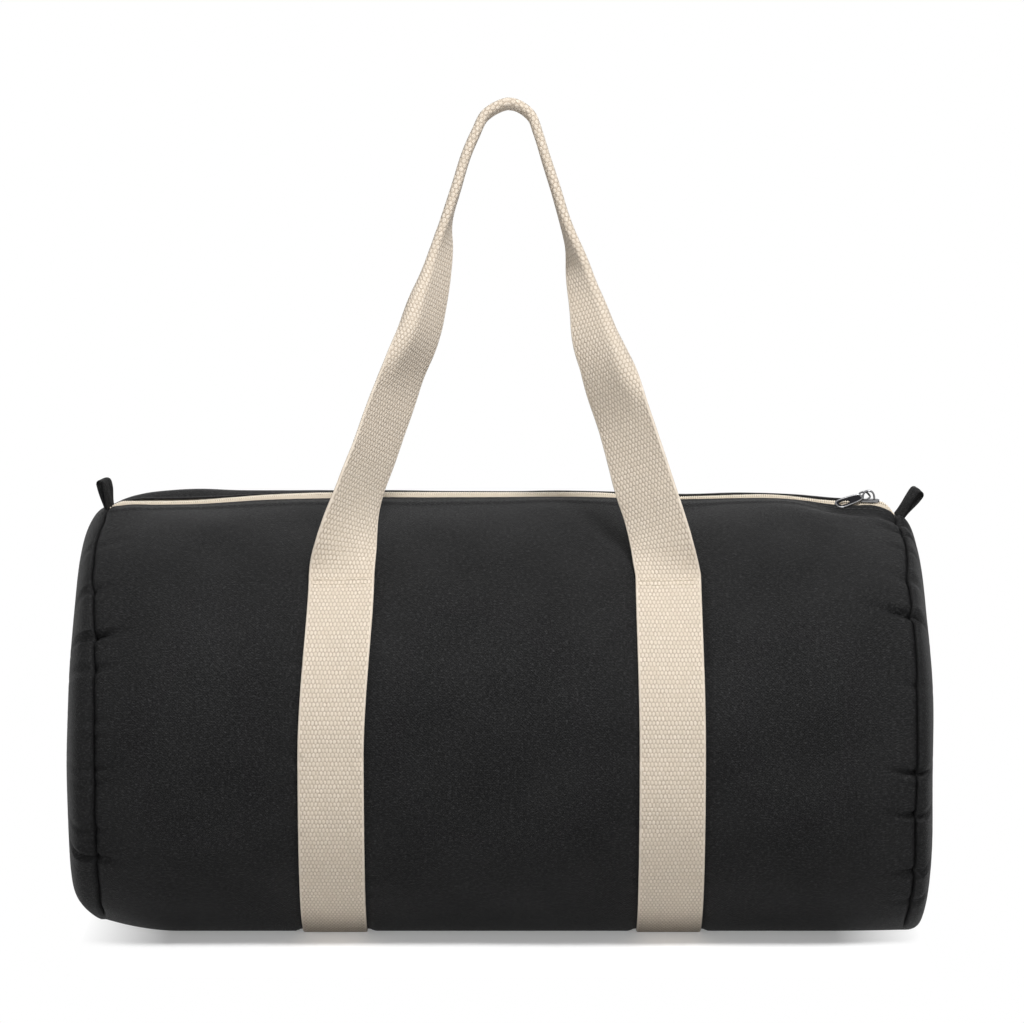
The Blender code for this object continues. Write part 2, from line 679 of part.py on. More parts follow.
def zip_pull(finish):
    """A flat pull: an eye round the crown's end, a plate, and a slot near the tip.

    It is made along its own X with the pivot at zero, then turned to where it lies.
    """
    half = PULL_THICKNESS / 2
    neck = PULL_EYE_LENGTH + PULL_RIM
    eye_outer = rounded_rectangle(neck + PULL_ROD, PULL_NECK_WIDTH, -PULL_ROD, PULL_ROD)
    eye_inner = rounded_rectangle(PULL_EYE_LENGTH - PULL_ROD, PULL_EYE_WIDTH, PULL_ROD, PULL_ROD)
    start = PULL_EYE_LENGTH + PULL_RIM / 2
    plate_outer = rounded_rectangle(PULL_LENGTH - start, PULL_WIDTH, start, PULL_RIM)
    slot_start = PULL_LENGTH - PULL_RIM - PULL_SLOT_LENGTH
    slot_corner = PULL_SLOT_WIDTH * SLOT_CORNER_SHARE
    plate_inner = rounded_rectangle(PULL_SLOT_LENGTH, PULL_SLOT_WIDTH, slot_start, slot_corner)
    along, across, face = pull_frame()
    turn = np.array([along, across, face])
    pivot = np.array([SLIDER_PLACE, 0.0, slider_levels()[2]])
    plate = flat_ring(plate_outer, plate_inner, half)
    eye_plate = flat_ring(eye_outer, eye_inner, half * EYE_THICKNESS_SHARE)
    shapes = []
    for name, (points, faces) in (("zip_pull", plate), ("pull_eye_shape", eye_plate)):
        points = np.array(points) @ turn + pivot
        shapes.append(add_mesh(name, points, faces, finish, origin=pivot, smooth_angle=30))
    pull, eye = shapes
    eye.hide_render = True
    eye.display_type = "WIRE"
    join = pull.modifiers.new("eye", "BOOLEAN")
    join.operation = "UNION"
    join.object = eye


def dome_height(x):
    """Height of the end's dome over the line of the zip, this far along the bag."""
    line = dome(1, np.zeros(1), 0.0)[1][::-1, 0]
    return np.interp(x, line[:, 0], line[:, 2])


def end_tab(name, side, lean, finish):
    """A strip of canvas folded over into a loop, standing just outside the zip's end seam."""
    middle = TAB_HEIGHT - TAB_LOOP / 2 - TAB_CLOTH
    spread = (TAB_LOOP + TAB_CLOTH) / 2
    foot = (GAP + TAB_CLOTH) / 2
    rise = np.linspace(0.0, 1.0, TAB_LEG_STEPS + 1)
    leg_a = np.stack([foot + (spread - foot) * smooth_step(rise), middle * rise], -1)
    turn = np.linspace(0.0, math.pi, TAB_OVER_STEPS + 1)[1:-1]
    over = np.stack([spread * np.cos(turn), middle + spread * np.sin(turn)], -1)
    leg_b = leg_a[::-1] * np.array([-1.0, 1.0])
    path = np.concatenate([leg_a, over, leg_b])
    slope = np.gradient(path, axis=0)
    normal = np.stack([slope[:, 1], -slope[:, 0]], -1) / np.hypot(*slope.T)[:, None]
    up = np.array([side * math.sin(lean), 0.0, math.cos(lean)])
    level = np.array([side * math.cos(lean), 0.0, -math.sin(lean)])
    across = np.array([0.0, math.cos(TAB_YAW), 0.0]) - side * math.sin(TAB_YAW) * level
    thick = np.cross(across, up)
    half_width = TAB_WIDTH / 2 * math.sin(TAB_YAW) + TAB_CLOTH + GAP
    base = np.array([side * (SEAM_SPAN / 2 + half_width), 0.0, 0.0])
    half_foot = foot + TAB_CLOTH / 2
    corners = [base + across * a * TAB_WIDTH / 2 + thick * b * half_foot for a in (-1, 1) for b in (-1, 1)]
    base[2] = max(dome_height(abs(x)) - z for x, _, z in corners) + GAP
    sheets = []
    for out in (TAB_CLOTH / 2, -TAB_CLOTH / 2):
        line = path + normal * out
        middle_row = base + line[:, :1] * thick + line[:, 1:] * up
        sheets.append(np.array([middle_row + across * edge * TAB_WIDTH / 2 for edge in (-1, 1)]))
    points, faces = slab(*sheets)
    add_mesh(name, points, faces, finish)


def build():
    for thing in list(bpy.data.objects):
        bpy.data.objects.remove(thing)
    canvas, webbing, natural_zip = canvas_material(), webbing_material(), zip_material()
    thread, chrome, gunmetal = thread_material(), chrome_material(), gunmetal_material()
    body_panel(canvas)
    for word, side, lean in (("left", -1, TAB_LEAN_LEFT), ("right", 1, TAB_LEAN_RIGHT)):
        end_panel("end_panel_" + word, side, canvas)
        seam_binding("seam_binding_" + word, side, canvas)
        end_tab("end_tab_" + word, side, lean, canvas)
        band("band_" + word, side, webbing)
        cross_stitch("cross_stitch_front_" + word, side, False, thread)
        cross_stitch("cross_stitch_rear_" + word, side, True, thread)
    for word, side in (("front", -1), ("rear", 1)):
        zip_tape("zip_tape_" + word, side, natural_zip)
        zip_coil("zip_coil_" + word, side, natural_zip)
    handle("front_handle", front_profile(), webbing)
    handle("rear_handle", rear_profile(), webbing)
    zip_slider(chrome)
    zip_pull(gunmetal)


build()
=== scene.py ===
# %% [markdown]
# # A barrel sports bag of black canvas
#
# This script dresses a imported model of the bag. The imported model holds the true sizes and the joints.
# Each piece here is a surface worked out with numpy and laid over the plain piece that it replaces.
# All lengths are in metres. X runs along the bag, -Y is its front and +Z is up.

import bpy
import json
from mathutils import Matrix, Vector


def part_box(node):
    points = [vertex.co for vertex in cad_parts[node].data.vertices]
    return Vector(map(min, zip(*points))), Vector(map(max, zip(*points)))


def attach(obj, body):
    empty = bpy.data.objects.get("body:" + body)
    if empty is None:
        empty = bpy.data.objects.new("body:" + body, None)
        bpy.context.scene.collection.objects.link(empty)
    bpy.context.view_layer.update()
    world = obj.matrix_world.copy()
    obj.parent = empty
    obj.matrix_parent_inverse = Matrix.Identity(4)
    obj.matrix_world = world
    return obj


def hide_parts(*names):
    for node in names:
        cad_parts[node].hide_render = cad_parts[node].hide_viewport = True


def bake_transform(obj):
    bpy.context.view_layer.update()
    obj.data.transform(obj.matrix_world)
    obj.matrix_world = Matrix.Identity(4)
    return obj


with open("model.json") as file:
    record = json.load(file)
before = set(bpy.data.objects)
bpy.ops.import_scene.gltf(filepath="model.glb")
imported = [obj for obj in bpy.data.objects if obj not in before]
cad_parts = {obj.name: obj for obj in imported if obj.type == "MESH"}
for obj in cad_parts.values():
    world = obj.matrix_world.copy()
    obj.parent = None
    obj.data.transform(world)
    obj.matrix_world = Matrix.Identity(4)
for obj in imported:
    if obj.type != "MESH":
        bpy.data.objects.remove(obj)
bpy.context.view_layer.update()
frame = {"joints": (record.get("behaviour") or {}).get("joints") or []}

import json
import math

import bpy
import numpy as np

# %% [markdown]
# ## Sizes
#
# The body's length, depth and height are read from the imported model, so a resized model is dressed as well.
# The rest are sizes of cloth, webbing, thread and metal, which are bought by the millimetre.

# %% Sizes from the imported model
body_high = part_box("body_panel")[1]
SEAM = body_high.x
HALF_DEPTH = body_high.y
HEIGHT = body_high.z
BELLY = HEIGHT * 0.5023
PRESS = 0.006
TOP_POWER = 1.95
BOTTOM_POWER = 2.6
TURN = 2 * math.pi
SMALL_ANGLE = 1e-4
print(f"seam at {SEAM:.4f}, half depth {HALF_DEPTH:.4f}, height {HEIGHT:.4f}")

# %% Sizes of the cloth pieces
CANVAS = 0.0009
GAP = 0.0003
WEBBING_WIDTH = 0.037
WEBBING_THICKNESS = 0.0020
BAND_OFFSET = 0.0955
BAND_PROUD = 0.0009
ZIP_OPENING = 0.015
END_DRAW = 0.009
END_RUN = 0.042
WANDER_RUN = 0.012
ZIP_END_RUN = 0.009
MOUTH_END_RUN = 0.020
SEAM_ROLL = 0.0030
SIDES = (("left", -1), ("right", 1))

# %% [markdown]
# ## Turning arrays into meshes
#
# A surface is a grid of points: rows by columns. Two grids with the same counts, one for each face of the
# cloth, make a closed slab. A profile carried along a path makes a tube. Both come as plain arrays, and
# make_piece puts them into a mesh. It turns all faces round when the volume that they close is negative.

# %% Mesh helpers
def grid_quads(index):
    """Quads of a grid of point numbers: each joins a point, its neighbour, and the two of the next row."""
    corners = (index[:-1, :-1], index[:-1, 1:], index[1:, 1:], index[1:, :-1])
    return np.stack(corners, axis=-1).reshape(-1, 4)


def closed(index):
    """The same grid of numbers with its first column repeated after the last, so the grid joins up."""
    return np.concatenate([index, index[:, :1]], axis=1)


def signed_volume(points, corners):
    """Six times the volume inside: the sum of a . (b x c) over the triangles of each quad."""
    a, b, c, d = (points[corners[:, k]] for k in range(4))
    return np.sum(a * np.cross(b, c)) + np.sum(a * np.cross(c, d))


def placed(name, data):
    """An object with this data, put into the scene."""
    thing = bpy.data.objects.new(name, data)
    bpy.context.scene.collection.objects.link(thing)
    return thing


def make_piece(name, points, quads, uv, finish, sharp=55):
    """A mesh object from arrays. A triangle is a quad whose last two corners are the same point."""
    points, uv = np.asarray(points, float).reshape(-1, 3), np.asarray(uv, float).reshape(-1, 2)
    if signed_volume(points, quads) < 0:
        quads = quads[:, [1, 0, 3, 2]]
    three = (quads[:, 2] == quads[:, 3]) | (quads[:, 0] == quads[:, 1])
    tidy = [list(dict.fromkeys(face)) for face in quads[three].tolist()]
    mesh = bpy.data.meshes.new(name)
    mesh.from_pydata(points.tolist(), [], quads[~three].tolist() + tidy)
    corner = np.zeros(len(mesh.loops), np.int32)
    mesh.loops.foreach_get("vertex_index", corner)
    layer = mesh.uv_layers.new(name="UVMap")
    layer.uv.foreach_set("vector", uv[corner].astype(np.float32).ravel())
    mesh.materials.append(finish)
    mesh.shade_smooth()
    mesh.set_sharp_from_angle(angle=math.radians(sharp))
    print(f"{name}: {len(mesh.polygons)} faces")
    return placed(name, mesh)


def slab(outer, inner, uv):
    """Points, quads and UVs of the wall between two grids of one size, closed along its four edges."""
    rows, columns = outer.shape[:2]
    count = rows * columns
    index = np.arange(count).reshape(rows, columns)
    edge = np.concatenate([index[0, :-1], index[:-1, -1], index[-1, :0:-1], index[:0:-1, 0]])
    after = np.roll(edge, -1)
    rim = np.stack([after, edge, edge + count, after + count], axis=-1)
    quads = np.concatenate([grid_quads(index), grid_quads(index + count)[:, ::-1], rim])
    points = np.concatenate([outer.reshape(-1, 3), inner.reshape(-1, 3)])
    return points, quads, np.tile(uv.reshape(-1, 2), (2, 1))


def lid_quads(sides):
    """Quads straight across a closed profile: two neighbours on one half, and the two that face them."""
    near, far = np.arange(sides // 2), sides - 1 - np.arange(sides // 2)
    return np.stack([near[1:], near[:-1], far[:-1], far[1:]], axis=-1)


def many_tubes(points, uv):
    """Points, quads and UVs of many closed tubes: points counts the tubes, their stations and their sides."""
    count, stations, sides = points.shape[:3]
    index = np.arange(count * stations * sides).reshape(count, stations, sides)
    wrap = np.concatenate([index, index[:, :, :1]], axis=2)
    wall = np.stack([wrap[:, :-1, :-1], wrap[:, :-1, 1:], wrap[:, 1:, 1:], wrap[:, 1:, :-1]], axis=-1)
    lid = lid_quads(sides)
    lids = [index[:, 0, :1, None] + lid, index[:, -1, :1, None] + lid[:, ::-1]]
    quads = np.concatenate([faces.reshape(-1, 4) for faces in [wall] + lids])
    return points.reshape(-1, 3), quads, uv.reshape(-1, 2)


def tube(rings, uv):
    """One closed profile carried along a path. Each end is closed straight across it."""
    return many_tubes(rings[None], uv)


def joined(parts):
    """Several (points, quads, uv) bodies as one."""
    points, quads, uvs, start = [], [], [], 0
    for part_points, part_quads, part_uv in parts:
        points.append(part_points)
        quads.append(part_quads + start)
        uvs.append(part_uv)
        start += len(part_points)
    return np.concatenate(points), np.concatenate(quads), np.concatenate(uvs)


# %% Lines and vectors
def unit(vectors):
    """Each vector over its own length."""
    return vectors / np.linalg.norm(vectors, axis=-1)[..., None]


def together(*values):
    """Arrays of coordinates, spread to one shape and stacked as points."""
    return np.stack(np.broadcast_arrays(*values), axis=-1)


def run_along(line):
    """Length along a line of points, from 0 at the first one."""
    return np.concatenate([[0.0], np.cumsum(np.linalg.norm(np.diff(line, axis=0), axis=1))])


def signed_power(value, power):
    """|v|^p with the sign of v."""
    return np.sign(value) * np.abs(value) ** power


# %% Curves and noise
def smooth_step(value):
    """0 below 0, 1 above 1, and 3v2 - 2v3 between."""
    value = np.clip(value, 0.0, 1.0)
    return value * value * (3 - 2 * value)


def bell(value):
    """exp(-v2): 1 in the middle, and close to 0 beyond 2."""
    return np.exp(-np.square(value))


def smooth_line(points, count, steps=24):
    """A Catmull-Rom curve through the points, read at places even in length."""
    points = np.asarray(points, float)
    padded = np.concatenate([[2 * points[0] - points[1]], points, [2 * points[-1] - points[-2]]])
    a, b, c, d = (padded[k:len(padded) - 3 + k, None] for k in range(4))
    t = np.linspace(0.0, 1.0, steps, endpoint=False)[None, :, None]
    curve = b + ((c - a) * t + (2 * a - 5 * b + 4 * c - d) * t**2 + (3 * b - 3 * c + d - a) * t**3) / 2
    line = np.concatenate([curve.reshape(-1, points.shape[1]), points[-1:]])
    reached = run_along(line)
    places = np.linspace(0.0, reached[-1], count)
    return np.stack([np.interp(places, reached, line[:, k]) for k in range(line.shape[1])], axis=-1)


def waves(u, v, seed, count, shortest, longest):
    """Soft noise: a sum of sine waves with seeded directions, lengths and phases, about 1 high."""
    random = np.random.default_rng(seed)
    total = np.zeros(np.broadcast(u, v).shape)
    for _ in range(count):
        length = random.uniform(shortest, longest)
        heading, phase = random.uniform(0, TURN), random.uniform(0, TURN)
        total += np.sin(TURN / length * (u * math.cos(heading) + v * math.sin(heading)) + phase)
    return total / math.sqrt(count)


# %% [markdown]
# ## The barrel as a formula
#
# Cut across, the bag is a superellipse: |y/a|^p + |z/b|^p = 1. The power p is near 2 in the top half, where the
# canvas hangs as a round arch from the zip, and higher in the bottom half, where it sits down on the ground.
# A point is named by x, along the bag, and by an angle that starts at the zip and grows over the front.

# %% Section and its normal
def section(angle):
    """Y and Z of the barrel's outline: radius = (|sin/a|^p + |cos/b|^p)^(-1/p), pressed flat by the ground."""
    angle = np.asarray(angle, float)
    across, up = np.sin(angle), np.cos(angle)
    below = up < 0
    power = np.where(below, BOTTOM_POWER, TOP_POWER)
    reach = np.where(below, BELLY + PRESS, HEIGHT - BELLY)
    radius = ((np.abs(across) / HALF_DEPTH) ** power + (np.abs(up) / reach) ** power) ** (-1 / power)
    return -radius * across, np.maximum(BELLY + radius * up, 0.0)


def section_normal(angle):
    """The outward direction in Y and Z: the outline's slope, turned a quarter."""
    y0, z0 = section(angle - SMALL_ANGLE)
    y1, z1 = section(angle + SMALL_ANGLE)
    size = np.hypot(y1 - y0, z1 - z0)
    return (z1 - z0) / size, (y0 - y1) / size


fine_angles = np.linspace(0.0, TURN, 7201)
fine_y, fine_z = section(fine_angles)
fine_reach = np.concatenate([[0.0], np.cumsum(np.hypot(np.diff(fine_y), np.diff(fine_z)))])
GIRTH = fine_reach[-1]


def reach_at(angle):
    """Length of cloth from the zip to this angle."""
    return np.interp(angle, fine_angles, fine_reach)


def angle_at(reach):
    """The angle at this length of cloth from the zip."""
    return np.interp(reach, fine_reach, fine_angles)


print(f"girth {GIRTH:.3f}")

# %% Where things sit round the barrel
STITCH_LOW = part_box("cross_stitch_front_left")[0]
STITCH_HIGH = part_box("cross_stitch_front_left")[1]
front = fine_angles < math.pi / 2
stitch_height = (STITCH_LOW.z + STITCH_HIGH.z) / 2
STITCH_ANGLE = float(np.interp(-stitch_height, -fine_z[front], fine_angles[front]))
STITCH_REACH = float(reach_at(STITCH_ANGLE))
MOUTH_ANGLE = math.atan2(ZIP_OPENING / 2, HEIGHT - BELLY)
MOUTH_REACH = float(reach_at(MOUTH_ANGLE))
print(f"cross stitch {STITCH_REACH:.4f} m from the zip, mouth edge {MOUTH_REACH:.4f} m")

# Each band runs straight down the front, and leans in a little on its last stretch up to the stitch
BAND_LEAN = {-1: 0.0052, 1: 0.0016}
LEAN_RUN = 0.110


def band_middle(side, reach):
    """X of a band's middle line at a length of cloth from the zip, the same on the front and the rear."""
    lower = smooth_step((np.minimum(reach, GIRTH - reach) - STITCH_REACH) / LEAN_RUN)
    return side * (BAND_OFFSET - BAND_LEAN[side] * (1 - lower))


# %% [markdown]
# ## How the canvas sags and puckers
#
# A stuffed cloth bag is never a clean barrel. Heights are added to the formula, outwards or inwards: soft waves
# over the whole cloth, valleys where the end seams gather it, a hollow and small dents beside the bands, and a
# roll where the cloth turns in to each seam. A valley falls as a bell across it and fades away from the seam.

# %% Valleys gathered by the end seams
# Places are lengths of cloth from the zip, over the front. Each valley: place, depth, half width, and
# run from the seam
LEFT_VALLEYS = ((0.062, 0.0005, 0.0030, 0.012), (0.098, 0.0016, 0.0022, 0.008), (0.130, 0.0034, 0.0022, 0.013),
                (0.151, 0.0015, 0.0024, 0.011), (0.183, 0.0007, 0.0020, 0.007), (0.193, 0.0007, 0.0018, 0.006),
                (0.212, 0.0010, 0.0020, 0.008), (0.221, 0.0008, 0.0018, 0.006), (0.251, 0.0010, 0.0020, 0.007),
                (0.270, 0.0026, 0.0020, 0.010))
RIGHT_VALLEYS = ((0.018, 0.0030, 0.0060, 0.018), (0.038, 0.0016, 0.0022, 0.009), (0.060, 0.0008, 0.0024, 0.008),
                 (0.088, 0.0010, 0.0040, 0.009), (0.116, 0.0036, 0.0026, 0.014), (0.162, 0.0009, 0.0022, 0.007),
                 (0.214, 0.0026, 0.0020, 0.009), (0.240, 0.0024, 0.0020, 0.009), (0.277, 0.0024, 0.0020, 0.009),
                 (0.300, 0.0010, 0.0024, 0.007))
VALLEY_SLANT = 0.18
VALLEY_GAIN = 1.35
VALLEY_PULL, VALLEY_PULL_WIDTH = 0.55, 1.3
RIDGE_PLACE, RIDGE_SHARE = 1.7, 0.25
END_VALLEY_SHARE = 0.22
# Where each end seam runs outside its straight place: lengths of cloth from the zip, and distances out
SEAM_PLACES = (0.0, 0.03, 0.06, 0.085, 0.12, 0.15, 0.30, 0.36)
LEFT_SEAM_OUT = (0.0, 0.0012, 0.0040, 0.0038, 0.0012, 0.0004, 0.0004, 0.0)
RIGHT_SEAM_OUT = (0.0, 0.0010, 0.0030, 0.0016, 0.0030, 0.0045, 0.0045, 0.0)
WANDER_WAVES = 0.0004
# Valleys that the photograph does not show start here, and their sizes lie between these two rows
HIDDEN_START = 0.34
HIDDEN_LEAST, HIDDEN_MOST = (0.0004, 0.0026, 0.008), (0.0018, 0.0048, 0.018)
HIDDEN_COUNT = 19


def hidden_valleys(seed, count):
    """Valleys for the bottom and the rear, which the photograph does not show, with seeded sizes."""
    random = np.random.default_rng(seed)
    places = np.linspace(HIDDEN_START, GIRTH - 0.02, count) + random.uniform(-0.009, 0.009, count)
    sizes = random.uniform(HIDDEN_LEAST, HIDDEN_MOST, (count, 3))
    return [(place, *size) for place, size in zip(places, sizes)]


VALLEYS = {-1: LEFT_VALLEYS + tuple(hidden_valleys(4, HIDDEN_COUNT)),
           1: RIGHT_VALLEYS + tuple(hidden_valleys(9, HIDDEN_COUNT))}


def gathers(side, reach, distance):
    """Depth of one end's valleys: a bell across each, with low ridges beside it, fading inwards at a slant."""
    total = np.zeros(np.broadcast(reach, distance).shape)
    inwards = np.maximum(distance, 0.0)
    for place, depth, width, run in VALLEYS[side]:
        across = (reach - place + VALLEY_SLANT * inwards) / width
        ridge = bell(across - RIDGE_PLACE) + bell(across + RIDGE_PLACE)
        total += VALLEY_GAIN * depth * (bell(across) - RIDGE_SHARE * ridge) * bell(inwards / run)
    return total


# Small puckers where a band's edge is sewn down: lengths of cloth from the zip, on its outer and inner side
OUTER_PUCKERS = (0.204, 0.248, 0.277, 0.150)
INNER_PUCKERS = (0.203, 0.243, 0.277, 0.290, 0.120)
PUCKER_DEPTH, PUCKER_REACH, PUCKER_HALF = 0.0008, 0.006, 0.0022


def band_puckers(x, reach):
    """Short dents beside the bands: a bell along the edge, times a bell away from it on the canvas side."""
    total = np.zeros(np.broadcast(x, reach).shape)
    for places, way in ((OUTER_PUCKERS, 1), (INNER_PUCKERS, -1)):
        away = way * (np.abs(x) - BAND_OFFSET) - WEBBING_WIDTH / 2
        beside = bell(away / PUCKER_REACH) * (away > -PUCKER_REACH / 2)
        total += sum(bell((reach + 0.25 * away - place) / PUCKER_HALF) for place in places) * beside
    return PUCKER_DEPTH * total


def seam_wander(side, reach):
    """How far an end seam is pulled in along the bag: a little everywhere, and more at each deep valley."""
    total = WANDER_WAVES * waves(reach, 0.0, 71 + side, 7, 0.02, 0.09)
    total = total - np.interp(reach, SEAM_PLACES, LEFT_SEAM_OUT if side < 0 else RIGHT_SEAM_OUT)
    for place, depth, width, _ in VALLEYS[side]:
        total = total + VALLEY_PULL * depth * bell((reach - place) / (VALLEY_PULL_WIDTH * width))
    return total * smooth_step(np.minimum(reach, GIRTH - reach) / 0.02)


# %% The sagging surface
# Heights along the mouth over a straight line, as shares of the whole length and of the highest one
MOUTH_RISE = 0.0060
MOUTH_PLACE_SHARES = (0.0, 0.015, 0.035, 0.05, 0.072, 0.115, 0.20, 0.265, 0.35, 0.62, 0.71, 0.74, 0.84,
                      0.885, 0.915, 0.95, 1.0)
FRONT_RISE_SHARES = (0.0, -0.10, -0.35, -0.37, -0.35, -0.30, 0.16, 0.28, 0.42, 0.42, 0.20, 0.25, 0.33, 0.10,
                     -0.15, -0.25, 0.0)
ZIP_RISE_SHARES = (0.0, 0.0, 0.0, 0.0, 0.0, 0.08, 0.62, 0.83, 0.87, 0.87, 0.40, 0.46, 0.70, 0.34, 0.02,
                   0.0, 0.0)
# The rear edge of the canvas keeps near the zip, and the cloth swells up a finger's width behind it
REAR_EDGE_SHARE = 0.8
SWELL_RISE_SHARES = (0.0, 0.25, 0.62, 0.85, 1.12, 1.25, 1.25, 1.15, 0.88, 0.84, 0.55, 0.55, 0.60, 0.46,
                     0.30, 0.1, 0.0)
SWELL_START = 0.13
# How far round the barrel the two sides' heights fade away, in radians
FRONT_FADE, REAR_FADE = 0.26, 0.42


def rise(x, rise_shares):
    """How far a line of the mouth stands above a straight one: a mean over places near by along the bag."""
    share = (np.asarray(x) / SEAM + 1) / 2
    spread = np.linspace(-0.02, 0.02, 9)
    level = sum(np.interp(share + step, MOUTH_PLACE_SHARES, rise_shares) for step in spread)
    ends = smooth_step((SEAM - np.abs(x)) / 0.008)
    return MOUTH_RISE * level / len(spread) * ends


LONG_WAVES, SHORT_WAVES = 0.0009, 0.00022
HOLLOW_DEPTH, HOLLOW_HALF, HOLLOW_RUN = 0.0016, 0.028, 0.045


def sag(x, angle):
    """Outward height over the barrel: waves, less a hollow at each handle's foot, puckers and valleys."""
    reach = reach_at(angle)
    from_mouth = np.minimum(reach, GIRTH - reach)
    low = smooth_step((BELLY - section(angle)[1]) / BELLY)
    soft = LONG_WAVES * waves(x, reach, 11, 9, 0.09, 0.26) + SHORT_WAVES * waves(x, reach, 5, 14, 0.022, 0.06)
    soft = soft * smooth_step(from_mouth / 0.03) * (1 - 0.7 * low)
    foot = bell((np.abs(x) - BAND_OFFSET) / HOLLOW_HALF) * bell((reach - STITCH_REACH) / HOLLOW_RUN)
    hollow = HOLLOW_DEPTH * foot
    return soft - hollow - band_puckers(x, reach) - gathers(-1, reach, x + SEAM) - gathers(1, reach, SEAM - x)


# How much of the full draw-in each end has, from the zip (0) down to the ground (1)
DRAW_PLACE_SHARES = (0.0, 0.25, 0.72, 0.90, 1.0)
LEFT_DRAW_SHARES = (0.48, 1.0, 1.0, 0.72, 0.70)
RIGHT_DRAW_SHARES = (1.0, 1.0, 0.80, 0.08, 0.05)


def end_share(x, angle, mouth_run):
    """How far the outline has drawn in near the end seams: (distance past the start / run)^1.8."""
    from_zip = np.minimum(np.abs(angle), np.abs(TURN - angle))
    run = mouth_run + (END_RUN - mouth_run) * smooth_step((from_zip / MOUTH_ANGLE - 2) / 4)
    share = np.clip((np.abs(x) - (SEAM - run)) / run, 0.0, 1.0)
    low = (1 - np.cos(angle)) / 2
    draw = np.where(np.asarray(x) < 0, np.interp(low, DRAW_PLACE_SHARES, LEFT_DRAW_SHARES),
                    np.interp(low, DRAW_PLACE_SHARES, RIGHT_DRAW_SHARES))
    return END_DRAW / HALF_DEPTH * draw * share**1.8


# The pull lies in a dip of the front canvas: middle along the bag and round it, depth and half widths
DIP_X, DIP_ANGLE, DIP_DEPTH, DIP_LONG, DIP_WIDE = 0.198, 0.150, 0.0052, 0.019, 0.075


def mouth_lift(x, angle):
    """How far the cloth beside the mouth stands above the formula, fading as a bell away from the zip."""
    from_zip = np.minimum(angle, TURN - angle)
    dip = DIP_DEPTH * bell((x - DIP_X) / DIP_LONG) * bell((angle - DIP_ANGLE) / DIP_WIDE)
    behind = smooth_step((from_zip - MOUTH_ANGLE) / SWELL_START)
    edge = REAR_EDGE_SHARE * rise(x, ZIP_RISE_SHARES)
    rear = edge + (rise(x, SWELL_RISE_SHARES) - edge) * behind
    dip = dip * smooth_step((SEAM - np.abs(x)) / 0.02)
    front = rise(x, FRONT_RISE_SHARES) * bell(from_zip / FRONT_FADE) - dip
    return np.where(angle < math.pi, front, rear * bell(from_zip / REAR_FADE))


def roll(distance):
    """Depth of a quarter round that turns in to the seam: R - sqrt(R2 - (R - distance)2)."""
    near = np.clip(SEAM_ROLL - distance, 0.0, SEAM_ROLL)
    return SEAM_ROLL - np.sqrt(SEAM_ROLL**2 - near**2)


def barrel_point(x, angle, out=0.0, mouth_run=MOUTH_END_RUN):
    """A point of the sagging canvas, moved outwards along the section's normal, and never below the ground."""
    x, angle, out = np.broadcast_arrays(np.asarray(x, float), np.asarray(angle, float), out)
    y, z = section(angle)
    ny, nz = section_normal(angle)
    pressed = smooth_step(z / 0.010)
    out = out + pressed * (sag(x, angle) - roll(SEAM - np.abs(x)))
    y, z = y + ny * out, z + nz * out + mouth_lift(x, angle)
    share = end_share(x, angle, mouth_run)
    reach = reach_at(angle)
    near_seam = bell((SEAM - np.abs(x)) / WANDER_RUN)
    pulled = np.where(x < 0, seam_wander(-1, reach), -seam_wander(1, reach)) * near_seam
    return np.stack([x + pulled, y * (1 - share), np.maximum(z + (BELLY - z) * share, 0.0)], axis=-1)


# %% [markdown]
# ## Finishes
#
# Every finish is made of shader nodes. Cloth reads the piece's own UV map, which is in metres along the cloth,
# so that its yarns follow the folds and keep their real size everywhere.

